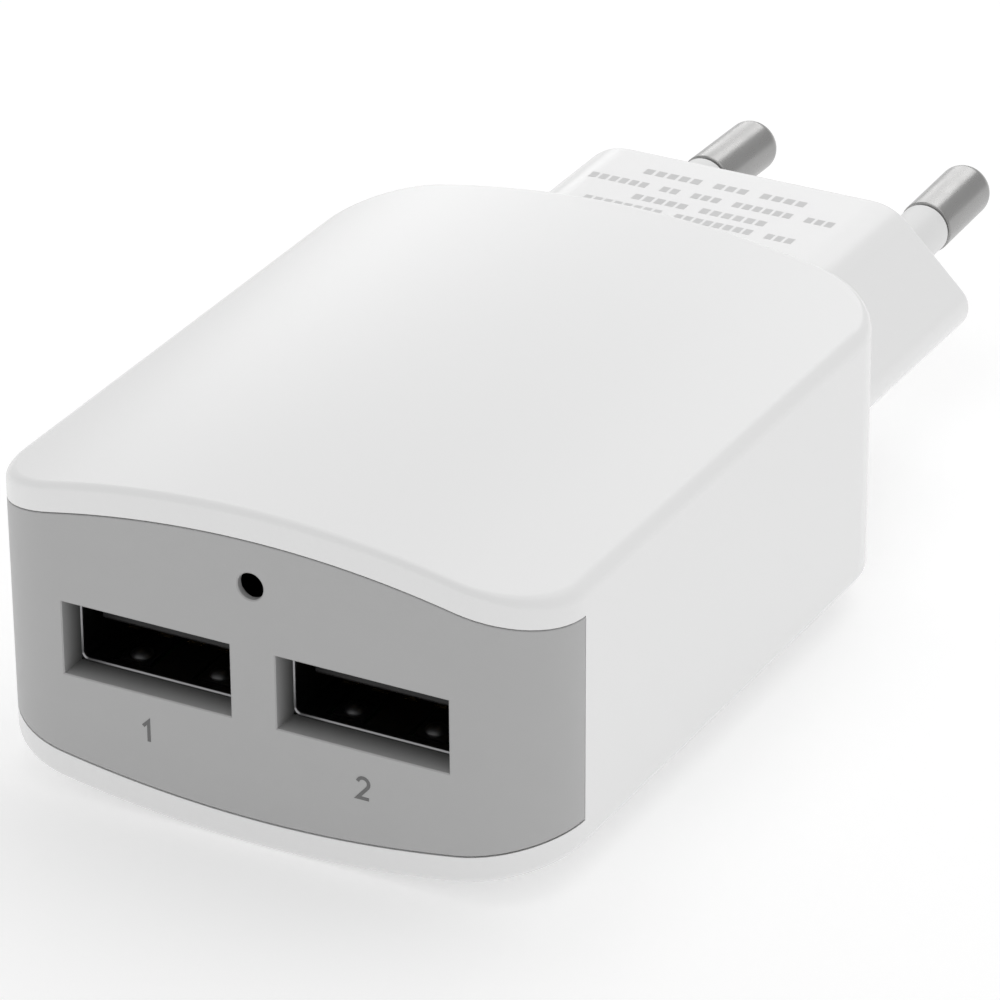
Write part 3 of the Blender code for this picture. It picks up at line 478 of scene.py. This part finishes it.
def window_cut(name, x, z, end_y):
    """Window opening with a fine chamfer round its front edge."""
    rings = []
    for y, grow in (
        (FRONT_Y - CUT_MARGIN, CUT_MARGIN + RIM_CHAMFER),
        (FRONT_Y + RIM_CHAMFER, 0.0),
        (end_y, 0.0),
    ):
        a, b = WINDOW_WIDTH / 2 + grow, WINDOW_HEIGHT / 2 + grow
        rings.append([(x - a, y, z - b), (x + a, y, z - b), (x + a, y, z + b), (x - a, y, z + b)])
    return loft(name, rings)


def led_hole_cut():
    """A narrow hole through the panel's skin that widens behind it, with a fine chamfer in front."""
    radius = LED_HOLE_DIAMETER / 2
    relief = LED_RELIEF_DIAMETER / 2
    back = -PANEL_WALL - CUT_MARGIN
    profile = [
        (0, back),
        (relief, back),
        (relief, -LED_SKIN),
        (radius, -LED_SKIN),
        (radius, -RIM_CHAMFER),
        (radius + RIM_CHAMFER * 2, RIM_CHAMFER),
        (0, RIM_CHAMFER),
    ]
    hole = turned("led_hole", profile)
    place = Matrix.Translation((0, FRONT_Y, MID_Z + LED_RISE))
    hole.data.transform(place @ Matrix.Rotation(math.pi / 2, 4, "X"))
    return hole


def tab_block(name, inner_x, outer_x, end_y):
    """Block of a side tab, from inside the panel's wall back to end_y."""
    low_x, high_x = sorted((inner_x, outer_x))
    half_height = TAB_HEIGHT / 2
    low = (low_x, PANEL_END_Y - TAB_LENGTH / 2, MID_Z - half_height)
    return box(name, low, (high_x, end_y, MID_Z + half_height))


def front_panel():
    """The panel with its windows, the collars behind them, the indicator hole and two side tabs."""
    panel = panel_skin()
    cutters = []
    collars = []
    for label, _ in SIDES:
        low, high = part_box(f"usb_shell_{label}")
        centre = (low + high) / 2
        cutters.append(window_cut(f"window_{label}", centre.x, centre.z, low.y + CUT_MARGIN))
        width, height = WINDOW_WIDTH / 2 + WINDOW_COLLAR, WINDOW_HEIGHT / 2 + WINDOW_COLLAR
        collar_low = (centre.x - width, FRONT_Y + PANEL_WALL / 2, centre.z - height)
        collar_high = (centre.x + width, low.y - COLLAR_GAP, centre.z + height)
        collars.append(box(f"collar_{label}", collar_low, collar_high))
    combine(panel, "UNION", collars)
    combine(panel, "DIFFERENCE", [*cutters, led_hole_cut()])
    half = BODY_WIDTH / 2
    outer = (half - SIDE_WALL) * side_scale(MID_Z - TAB_HEIGHT / 2) - TOUCH_GAP
    inner = outer - TAB_THICKNESS
    wall_middle = half - PANEL_WALL / 2
    for label, side in SIDES:
        tab = tab_block(f"tab_{label}", side * inner, side * outer, PANEL_END_Y + TAB_LENGTH)
        root_end_y = PANEL_END_Y - SEAM_GAP
        root = tab_block(f"tab_root_{label}", side * inner, side * wall_middle, root_end_y)
        combine(panel, "UNION", [tab, root])
    return finish_piece(panel, panel_grey, ["front_panel"])


# ---------------------------------------------------------------- pins and sleeves


def fine_pin(label, side):
    """A pin with a slim core inside its sleeve, a broken shoulder edge and a rounded tip."""
    core = PIN_CORE_DIAMETER / 2
    radius = PIN_DIAMETER / 2
    shoulder = SLEEVE_LENGTH + SLEEVE_GAP
    edge = PIN_SHOULDER_EDGE
    back = -NECK_END_WALL
    tip_centre = (radius - PIN_TIP_RADIUS, PIN_LENGTH - PIN_TIP_RADIUS)
    tip = arc(tip_centre, PIN_TIP_RADIUS, 0, 90, PIN_TIP_STEPS)
    profile = [
        (0, back),
        (core, back),
        (core, shoulder),
        (radius - edge, shoulder),
        (radius - edge * EDGE_BEND, shoulder + edge * EDGE_BEND),
        (radius, shoulder + edge),
        *tip,
        (0, PIN_LENGTH),
    ]
    piece = place_on_pin(turned(f"mains_pin_{label}", profile), side)
    return finish_piece(piece, pin_nickel, [f"pin_{label}"])


def fine_sleeve(label, side):
    """An insulating sleeve with a flange inside the neck's end wall and a broken edge at its end."""
    bore = PIN_CORE_DIAMETER / 2 + SLEEVE_GAP
    outer = SLEEVE_DIAMETER / 2
    flange = SLEEVE_FLANGE_DIAMETER / 2
    back = -NECK_END_WALL - TOUCH_GAP - SLEEVE_FLANGE_LENGTH
    edge = SLEEVE_END_EDGE
    profile = [
        (bore, back),
        (flange, back),
        (flange, back + SLEEVE_FLANGE_LENGTH),
        (outer, back + SLEEVE_FLANGE_LENGTH),
        (outer, SLEEVE_LENGTH - edge),
        (outer - edge * EDGE_BEND, SLEEVE_LENGTH - edge * EDGE_BEND),
        (outer - edge, SLEEVE_LENGTH),
        (bore, SLEEVE_LENGTH),
    ]
    piece = place_on_pin(turned(f"pin_sleeve_{label}", profile), side)
    return finish_piece(piece, sleeve_white, [f"sleeve_{label}"])


# ---------------------------------------------------------------- USB-A sockets


def rounded_rectangle(x, z, half_width, half_height, radius, y):
    """Ring round an upright rectangle at depth y."""
    corners = [
        (-half_width, half_height),
        (half_width, half_height),
        (half_width, -half_height),
        (-half_width, -half_height),
    ]
    outline = rounded_polygon(corners, [radius] * len(corners), SHELL_CORNER_STEPS)
    return [(x + a, y, z + b) for a, b in outline]


def spring_rise(share):
    """How far a sprung finger stands up at a share of its length."""
    return SPRING_LIFT * math.sin(math.pi * share)


def spring_finger(name, x, front_y, low_z):
    """A bowed strip that fills the middle of its slot and joins the shell at the slot's rear end."""
    reach = SPRING_WINDOW_LENGTH - SHELL_WALL
    path = []
    for i in range(SPRING_STEPS + 1):
        share = i / SPRING_STEPS
        path.append((front_y + SHELL_WALL + reach * share, spring_rise(share)))
    path.append((front_y + SPRING_WINDOW_LENGTH + TOUCH_GAP, 0.0))
    outline = [(y, low_z + rise) for y, rise in path]
    outline += [(y, low_z + SHELL_WALL + rise) for y, rise in reversed(path)]
    half = SPRING_WIDTH / 2
    return loft(f"finger_{name}", [[(x + s * half, y, z) for y, z in outline] for s in (-1, 1)])


def spring_dimple(name, x, shell_y, base_z):
    """The low pressed dome on a finger, at the finger's height where it stands."""
    sphere = (DIMPLE_RADIUS**2 + DIMPLE_HEIGHT**2) / (2 * DIMPLE_HEIGHT)
    first = math.degrees(math.acos(DIMPLE_RADIUS / sphere))
    dome = arc((0, DIMPLE_HEIGHT - sphere), sphere, first, 90, DIMPLE_STEPS)
    foot = -SHELL_WALL / 2
    profile = [(0, foot), (DIMPLE_RADIUS, foot), *dome[:-1], (0, dome[-1][1])]
    dimple = turned(f"dimple_{name}", profile, DIMPLE_SIDES)
    from_root = DIMPLE_SETBACK - SPRING_WINDOW_START - SHELL_WALL
    rise = spring_rise(from_root / (SPRING_WINDOW_LENGTH - SHELL_WALL))
    dimple.data.transform(Matrix.Translation((x, shell_y + DIMPLE_SETBACK, base_z + rise)))
    return dimple


def fine_shell(label):
    """Drawn steel shell with rounded corners and two sprung fingers, each with a pressed dimple."""
    low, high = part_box(f"usb_shell_{label}")
    centre = (low + high) / 2
    a, b = (high.x - low.x) / 2, (high.z - low.z) / 2
    sections = [
        (SHELL_WALL, high.y - SHELL_WALL),
        (SHELL_WALL, low.y + SHELL_EDGE),
        (SHELL_WALL - SHELL_EDGE, low.y),
        (SHELL_EDGE, low.y),
        (0.0, low.y + SHELL_EDGE),
        (0.0, high.y),
    ]
    rings = []
    for inset, y in sections:
        corner = SHELL_CORNER - inset
        rings.append(rounded_rectangle(centre.x, centre.z, a - inset, b - inset, corner, y))
    shell = loft(f"socket_shell_{label}", rings)
    top_z = low.z + SHELL_WALL
    start = low.y + SPRING_WINDOW_START
    half = SPRING_WINDOW_WIDTH / 2
    slots = []
    fingers = []
    for name, side in SIDES:
        x = centre.x + side * SPRING_SPACING / 2
        slot_low = (x - half, start, low.z - CUT_MARGIN)
        slot_high = (x + half, start + SPRING_WINDOW_LENGTH, top_z + SHELL_WALL)
        slots.append(box(f"slot_{name}", slot_low, slot_high))
        fingers.append(spring_finger(name, x, start, low.z))
        fingers.append(spring_dimple(name, x, low.y, top_z))
    combine(shell, "DIFFERENCE", slots)
    combine(shell, "UNION", fingers)
    return finish_piece(shell, shell_steel_painted_shade_and_highlight, [f"usb_shell_{label}"], sharp=30)


def fine_insulator(label):
    """Rear block and tongue, with the tongue's front edges broken."""
    low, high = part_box(f"usb_insulator_{label}")
    _, contact_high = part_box(f"usb_contact_{label}_1")
    x = (low.x + high.x) / 2
    block_front = contact_high.y + TOUCH_GAP
    block = box(f"socket_block_{label}", (low.x, block_front, low.z), (high.x, high.y, high.z))
    edge = TONGUE_EDGE
    root_y = block_front + TONGUE_ROOT
    bottom = contact_high.z + TOUCH_GAP
    top = bottom + TONGUE_THICKNESS
    outline = [
        (low.y + edge, bottom),
        (low.y, bottom + edge),
        (low.y, top - edge),
        (low.y + edge, top),
        (root_y, top),
        (root_y, bottom),
    ]
    ends = (x - TONGUE_WIDTH / 2, x + TONGUE_WIDTH / 2)
    tongue = loft(f"tongue_{label}", [[(end_x, y, z) for y, z in outline] for end_x in ends])
    combine(block, "UNION", [tongue])
    return finish_piece(block, socket_black, [f"usb_insulator_{label}"], sharp=20)


# ---------------------------------------------------------------- print

PRINT_THICKNESS = 0.00002
PORT_NUMBER_DROP = 0.00535
PORT_NUMBER_HEIGHT = 0.0015
PORT_NUMBER_STROKE = 0.00024
DIGIT_ONE = ((-0.5, 0.45), (0.05, 1.0), (0.05, -1.0))  # its strokes, in shares of its half height
DIGIT_TWO_BOWL = 0.55  # radius of its bowl and half its width, in the same shares
DIGIT_TWO_SWEEP = (165, -35)  # degrees that the bowl runs through
DIGIT_TWO_STEPS = 10
LEAST_MITRE = 0.4  # limits how far a sharp turn's corner reaches out


def ribbon(bm, route, width, place):
    """Flat print of even width along a route of points, mitred where the route turns."""
    points = [Vector(point) for point in route]
    sides = []
    for i, point in enumerate(points):
        before = (point - points[i - 1]).normalized() if i else None
        after = (points[i + 1] - point).normalized() if i + 1 < len(points) else None
        along = ((before or after) + (after or before)).normalized()
        across = Vector((-along.y, along.x))
        reach = width / 2 / max(LEAST_MITRE, along.dot(after or before))
        sides.append((point + across * reach, point - across * reach))
    levels = []
    for height in (-PRINT_THICKNESS / 2, PRINT_THICKNESS / 2):
        level = []
        for pair in sides:
            level.append([bm.verts.new(place @ Vector((*side, height))) for side in pair])
        levels.append(level)
    low, high = levels
    for i in range(len(points) - 1):
        bm.faces.new((high[i][0], high[i][1], high[i + 1][1], high[i + 1][0]))
        bm.faces.new((low[i][0], low[i + 1][0], low[i + 1][1], low[i][1]))
        for k in (0, 1):
            bm.faces.new((low[i][k], low[i + 1][k], high[i + 1][k], high[i][k]))
    for i in (0, -1):
        bm.faces.new((low[i][0], low[i][1], high[i][1], high[i][0]))


def port_number(label, number):
    """A generic port number printed under its socket."""
    low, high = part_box(f"usb_shell_{label}")
    centre = (low + high) / 2
    half = PORT_NUMBER_HEIGHT / 2
    if number == 1:
        route = [(half * x, half * z) for x, z in DIGIT_ONE]
    else:
        bowl = half * DIGIT_TWO_BOWL
        route = arc((0.0, half - bowl), bowl, *DIGIT_TWO_SWEEP, DIGIT_TWO_STEPS)
        route += [(-bowl, -half), (bowl, -half)]
    bm = bmesh.new()
    front = FRONT_Y - PRINT_THICKNESS / 2
    place = Matrix.Translation((centre.x, front, centre.z - PORT_NUMBER_DROP))
    ribbon(bm, route, PORT_NUMBER_STROKE, place @ Matrix.Rotation(math.pi / 2, 4, "X"))
    digit = add_object(f"port_number_{label}", bm)
    digit.data.materials.append(print_dark)
    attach(digit, "root")


PRINT_ROWS = (
    # distance of the row's middle from the neck's end face, its two ends, and its words' letters
    (0.00325, -0.00693, 0.00617, (5, 3, 4)),
    (0.00546, -0.01023, 0.00939, (6, 2, 3, 6, 3)),
    (0.00748, -0.00572, 0.00503, (5, 6)),
    (0.00920, -0.00883, 0.00805, (8, 8, 3)),
)
MARK_FILL = 0.72  # share of a letter's pitch that its mark covers
MARK_HEIGHT = 0.00085
WORD_GAP = 0.0009


def rating_print():
    """Rows of plain letter-sized marks on the neck's upper flat where the real part carries text."""
    top = MID_Z + NECK_HEIGHT / 2
    bm = bmesh.new()
    for from_end, left, right, words in PRINT_ROWS:
        y = NECK_END_Y - from_end
        pitch = (right - left - WORD_GAP * (len(words) - 1)) / sum(words)
        width = pitch * MARK_FILL
        x = left
        for letters in words:
            for _ in range(letters):
                place = Matrix.Translation((x + width / 2, y, top))
                ribbon(bm, [(-width / 2, 0.0), (width / 2, 0.0)], MARK_HEIGHT, place)
                x += pitch
            x += WORD_GAP
    marks = add_object("rating_marks", bm)
    marks.data.materials.append(print_grey)
    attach(marks, "root")


# ---------------------------------------------------------------- finishes

NOISE_LOW, NOISE_HIGH = 0.15, 0.85  # the range that the noise nearly always keeps to
GLOSS_FINER = 2.3  # how much finer the patches of gloss are than the patches of tone


def new_material(name, color, roughness, metallic=0.0):
    """A material, with its nodes, its links and its shader."""
    material = bpy.data.materials.new(name)
    material.use_nodes = True
    shader = material.node_tree.nodes["Principled BSDF"]
    shader.inputs["Base Color"].default_value = (*color, 1.0)
    shader.inputs["Roughness"].default_value = roughness
    shader.inputs["Metallic"].default_value = metallic
    return material, material.node_tree.nodes, material.node_tree.links, shader


def noise(nodes, links, coords, scale, detail=3.0, stretch=None):
    """Noise over the object's own coordinates, which stretch scales on each axis."""
    texture = nodes.new("ShaderNodeTexNoise")
    texture.inputs["Scale"].default_value = scale
    texture.inputs["Detail"].default_value = detail
    source = coords.outputs["Object"]
    if stretch:
        mapping = nodes.new("ShaderNodeMapping")
        mapping.inputs["Scale"].default_value = stretch
        links.new(source, mapping.inputs["Vector"])
        source = mapping.outputs["Vector"]
    links.new(source, texture.inputs["Vector"])
    return texture


def spread(nodes, links, texture, low, high):
    """Map a noise's usual range onto low to high."""
    remap = nodes.new("ShaderNodeMapRange")
    remap.inputs["From Min"].default_value = NOISE_LOW
    remap.inputs["From Max"].default_value = NOISE_HIGH
    remap.inputs["To Min"].default_value = low
    remap.inputs["To Max"].default_value = high
    links.new(texture.outputs["Fac"], remap.inputs["Value"])
    return remap.outputs["Result"]


def surface(
    name,
    color,
    roughness,
    metallic=0.0,
    tint=0.02,
    rough_spread=0.04,
    patch=350,
    grain=4000,
    height=4e-6,
    stretch=None,
):
    """A finish with slight patches of tone and gloss, and fine grain where height isn't 0."""
    material, nodes, links, shader = new_material(name, color, roughness, metallic)
    coords = nodes.new("ShaderNodeTexCoord")
    patches = noise(nodes, links, coords, patch, 4.0, stretch)
    mix = nodes.new("ShaderNodeMix")
    mix.data_type = "RGBA"
    mix.inputs["A"].default_value = (*[c * (1 - tint) for c in color], 1.0)
    mix.inputs["B"].default_value = (*[min(1.0, c * (1 + tint)) for c in color], 1.0)
    links.new(spread(nodes, links, patches, 0.0, 1.0), mix.inputs["Factor"])
    links.new(mix.outputs["Result"], shader.inputs["Base Color"])
    gloss = noise(nodes, links, coords, patch * GLOSS_FINER, 3.0, stretch)
    rough = spread(nodes, links, gloss, roughness - rough_spread, roughness + rough_spread)
    links.new(rough, shader.inputs["Roughness"])
    if not height:
        return material
    fine = noise(nodes, links, coords, grain, 2.0, stretch)
    bump = nodes.new("ShaderNodeBump")
    bump.inputs["Strength"].default_value = 1.0
    bump.inputs["Distance"].default_value = height
    links.new(fine.outputs["Fac"], bump.inputs["Height"])
    links.new(bump.outputs["Normal"], shader.inputs["Normal"])
    return material


casing_white = surface(
    "casing white",
    (0.86, 0.86, 0.86),
    0.27,
    tint=0.003,
    rough_spread=0.003,
    patch=60,
    height=0,
)
panel_grey = surface(
    "panel grey",
    (0.45, 0.45, 0.45),
    0.42,
    tint=0.010,
    patch=500,
    grain=7000,
    height=2e-6,
)
sleeve_white = surface("sleeve white", (0.78, 0.78, 0.78), 0.42, tint=0.01, height=1.5e-6)
pin_nickel = surface(
    "pin nickel",
    (0.34, 0.338, 0.335),
    0.28,
    metallic=1.0,
    tint=0.05,
    patch=900,
    grain=9000,
    height=2.5e-6,
    stretch=(1.0, 0.25, 1.0),
)
# The steel's dark colour is painted shade, standing in for the shade inside the sockets
shell_steel_painted_shade_and_highlight = surface("shell steel painted shade and highlight", (0.10, 0.10, 0.102), 0.34, metallic=1.0, tint=0.04, height=1e-6)
socket_black = surface("socket black", (0.018, 0.018, 0.018), 0.48, tint=0.1)
contact_gold = surface(
    "contact gold",
    (0.88, 0.66, 0.30),
    0.25,
    metallic=1.0,
    tint=0.03,
    height=5e-7,
)
print_dark = surface("print dark", (0.15, 0.15, 0.15), 0.5, tint=0.08, height=1e-6)
print_grey = surface("print grey", (0.62, 0.62, 0.62), 0.5, tint=0.05, height=1e-6)


def paint_light_by_depth(material, start_y, end_y, start, end, half_width=None):
    """Paint light and shade into a finish's colour, multiplying it by a factor that runs from start to
    end between two depths.

    Given a half width, the finish keeps its colour further out than that.
    """
    nodes, links = material.node_tree.nodes, material.node_tree.links
    shader = nodes["Principled BSDF"]
    coords = nodes.new("ShaderNodeTexCoord")
    split = nodes.new("ShaderNodeSeparateXYZ")
    links.new(coords.outputs["Object"], split.inputs["Vector"])
    depth = nodes.new("ShaderNodeMapRange")
    depth.inputs["From Min"].default_value = start_y
    depth.inputs["From Max"].default_value = end_y
    depth.inputs["To Min"].default_value = start
    depth.inputs["To Max"].default_value = end
    links.new(split.outputs["Y"], depth.inputs["Value"])
    factor = depth.outputs["Result"]
    if half_width:
        distance = nodes.new("ShaderNodeMath")
        distance.operation = "ABSOLUTE"
        links.new(split.outputs["X"], distance.inputs[0])
        outside = nodes.new("ShaderNodeMath")
        outside.operation = "GREATER_THAN"
        outside.inputs[1].default_value = half_width
        links.new(distance.outputs[0], outside.inputs[0])
        keep = nodes.new("ShaderNodeMath")
        keep.operation = "MAXIMUM"
        links.new(outside.outputs[0], keep.inputs[0])
        links.new(factor, keep.inputs[1])
        factor = keep.outputs[0]
    scale = nodes.new("ShaderNodeVectorMath")
    scale.operation = "SCALE"
    links.new(shader.inputs["Base Color"].links[0].from_socket, scale.inputs["Vector"])
    links.new(factor, scale.inputs["Scale"])
    links.new(scale.outputs["Vector"], shader.inputs["Base Color"])


SHELL_FRONT_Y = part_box("usb_shell_left")[0].y
SHADE_START = 0.0001  # depth at which the painted light begins, behind the front of its piece
WINDOW_PAINTED_SHADE = 0.2  # painted shade: what is left of the panel's colour at the back of its windows
CUT_EDGE_PAINTED_HIGHLIGHT = 4.5  # painted highlight: how much lighter the shells' cut front edges are painted
# depth behind the shells' front over which their painted highlight fades out
CUT_EDGE_HIGHLIGHT_DEPTH = 0.0003
# Painted shade: the panel's colour darkens with depth on the walls of its windows and indicator hole and
# on its collars, within the windows' half span
paint_light_by_depth(panel_grey, FRONT_Y + SHADE_START, SHELL_FRONT_Y, 1.0, WINDOW_PAINTED_SHADE, WINDOWS_HALF_SPAN)
# Painted highlight: the shells' cut front edges are painted lighter, fading back to the steel's painted
# dark within a short depth
paint_light_by_depth(
    shell_steel_painted_shade_and_highlight,
    SHELL_FRONT_Y + SHADE_START,
    SHELL_FRONT_Y + CUT_EDGE_HIGHLIGHT_DEPTH,
    CUT_EDGE_PAINTED_HIGHLIGHT,
    1.0,
)

ALONG_STRIP = (0.2, 1.0, 1.0)  # drawing marks that run along the metal
ROUND_WINDING = (1.0, 1.0, 6.0)  # turns that show through the tape
INNER_FINISHES = {
    "carrier_white": surface("carrier white", (0.72, 0.72, 0.69), 0.5),
    "strip_bronze": surface(
        "strip bronze",
        (0.75, 0.52, 0.33),
        0.34,
        metallic=1.0,
        tint=0.06,
        stretch=ALONG_STRIP,
    ),
    "board_green": surface("board green", (0.015, 0.08, 0.025), 0.38, tint=0.15, patch=900, height=8e-6),
    "can_green": surface("can green", (0.03, 0.16, 0.10), 0.28, tint=0.06),
    "can_black": surface("can black", (0.03, 0.03, 0.05), 0.28, tint=0.06),
    "component_black": surface("component black", (0.025, 0.025, 0.025), 0.5, tint=0.15, height=8e-6),
    "ferrite_grey": surface("ferrite grey", (0.06, 0.06, 0.065), 0.62, tint=0.2, grain=2500, height=2e-5),
    "tape_yellow": surface("tape yellow", (0.85, 0.62, 0.08), 0.32, tint=0.05, stretch=ROUND_WINDING),
    "disc_blue": surface("disc blue", (0.05, 0.20, 0.55), 0.33, tint=0.08, height=8e-6),
    "opto_white": surface("opto white", (0.70, 0.70, 0.66), 0.5),
    "resistor_green": surface("resistor green", (0.25, 0.45, 0.30), 0.35, tint=0.06),
    "led_resin": surface("led resin", (0.75, 0.76, 0.80), 0.12, tint=0.02, height=5e-7),
    "lead_tin": surface("lead tin", (0.70, 0.70, 0.70), 0.33, metallic=1.0, tint=0.05),
    "contact_gold": contact_gold,
}


def dress_nodes():
    """Give every CAD node that stays its finish, by the record's material slot."""
    for part in frame["record"]["subparts"]:
        finish = INNER_FINISHES.get(part["material_slot"])
        obj = frame["nodes"].get(part["node"])
        if finish is None or obj is None:
            continue
        for place in obj.material_slots:
            place.material = finish


# ---------------------------------------------------------------- stage

CAMERA_AZIMUTH = math.radians(28.611)
CAMERA_ELEVATION = math.radians(27.335)
CAMERA_ROLL = math.radians(-0.522)
CAMERA_AIM = (0.00130, -0.01442, 0.01151)
CAMERA_DISTANCE = 0.43730
CAMERA_LENS = 232.66  # millimetres
CAMERA_SENSOR = 36.0  # millimetres
CAMERA_CLIP = (0.01, 20.0)


def camera():
    """A long lens looking down at the front right corner."""
    az, el, roll = CAMERA_AZIMUTH, CAMERA_ELEVATION, CAMERA_ROLL
    back = Vector((math.sin(az) * math.cos(el), -math.cos(az) * math.cos(el), math.sin(el)))
    across = Vector((math.cos(az), math.sin(az), 0.0))
    up = back.cross(across)
    right = across * math.cos(roll) + up * math.sin(roll)
    upright = up * math.cos(roll) - across * math.sin(roll)
    data = bpy.data.cameras.new("camera")
    data.lens = CAMERA_LENS
    data.sensor_width = CAMERA_SENSOR
    data.clip_start, data.clip_end = CAMERA_CLIP
    obj = bpy.data.objects.new("camera", data)
    bpy.context.scene.collection.objects.link(obj)
    place = Vector(CAMERA_AIM) + back * CAMERA_DISTANCE
    turn = Matrix((right, upright, back)).transposed().to_4x4()
    obj.matrix_world = Matrix.Translation(place) @ turn
    bpy.context.scene.camera = obj


WORLD_STRENGTH = 0.67
FLOOR_HALF = 3.0
FLOOR_THICKNESS = 0.02
FLOOR_COLOR = (0.85, 0.85, 0.85)
FLOOR_ROUGHNESS = (0.76, 0.84)
FLOOR_GRAIN = 400
FLOOR_GLOW = 0.26
LIGHT_AIM = (0.0, 0.0, 0.01)
OVERHEAD_PLACE = (0.10, 0.30, 0.78)
OVERHEAD_SIZE = (0.9, 0.9)
OVERHEAD_POWER = 1.6
REAR_PLACE = (-0.26, 0.84, 0.40)
REAR_SIZE = (0.9, 0.22)
REAR_POWER = 1.1
REAR_SPIN = math.radians(-32)


def area_light(name, place, size, power, spin=0.0):
    """A rectangular light that faces the object, spun about its own axis."""
    data = bpy.data.lights.new(name, "AREA")
    data.shape = "RECTANGLE"
    data.size, data.size_y = size
    data.energy = power
    obj = bpy.data.objects.new(name, data)
    bpy.context.scene.collection.objects.link(obj)
    obj.location = place
    facing = (Vector(LIGHT_AIM) - Vector(place)).to_track_quat("-Z", "Y").to_matrix().to_4x4()
    obj.rotation_euler = (facing @ Matrix.Rotation(spin, 4, "Z")).to_euler()


def stage():
    """Pale floor, white surroundings and two soft lights."""
    floor = box(
        "floor",
        (-FLOOR_HALF, -FLOOR_HALF, -FLOOR_THICKNESS),
        (FLOOR_HALF, FLOOR_HALF, 0.0),
    )
    material, nodes, links, shader = new_material("floor white", FLOOR_COLOR, FLOOR_ROUGHNESS[0])
    shader.inputs["Emission Color"].default_value = (1.0, 1.0, 1.0, 1.0)
    shader.inputs["Emission Strength"].default_value = FLOOR_GLOW
    coords = nodes.new("ShaderNodeTexCoord")
    paper = noise(nodes, links, coords, FLOOR_GRAIN)
    links.new(spread(nodes, links, paper, *FLOOR_ROUGHNESS), shader.inputs["Roughness"])
    floor.data.materials.append(material)
    world = bpy.data.worlds.new("studio")
    world.use_nodes = True
    background = world.node_tree.nodes["Background"]
    background.inputs["Color"].default_value = (1.0, 1.0, 1.0, 1.0)
    background.inputs["Strength"].default_value = WORLD_STRENGTH
    bpy.context.scene.world = world
    area_light("overhead", OVERHEAD_PLACE, OVERHEAD_SIZE, OVERHEAD_POWER)
    area_light("rear strip", REAR_PLACE, REAR_SIZE, REAR_POWER, REAR_SPIN)
    bpy.context.scene.view_settings.view_transform = "Standard"


camera()
housing()
front_panel()
for label, side in SIDES:
    fine_pin(label, side)
    fine_sleeve(label, side)
    fine_shell(label)
    fine_insulator(label)
port_number("left", 1)
port_number("right", 2)
rating_print()
dress_nodes()
stage()
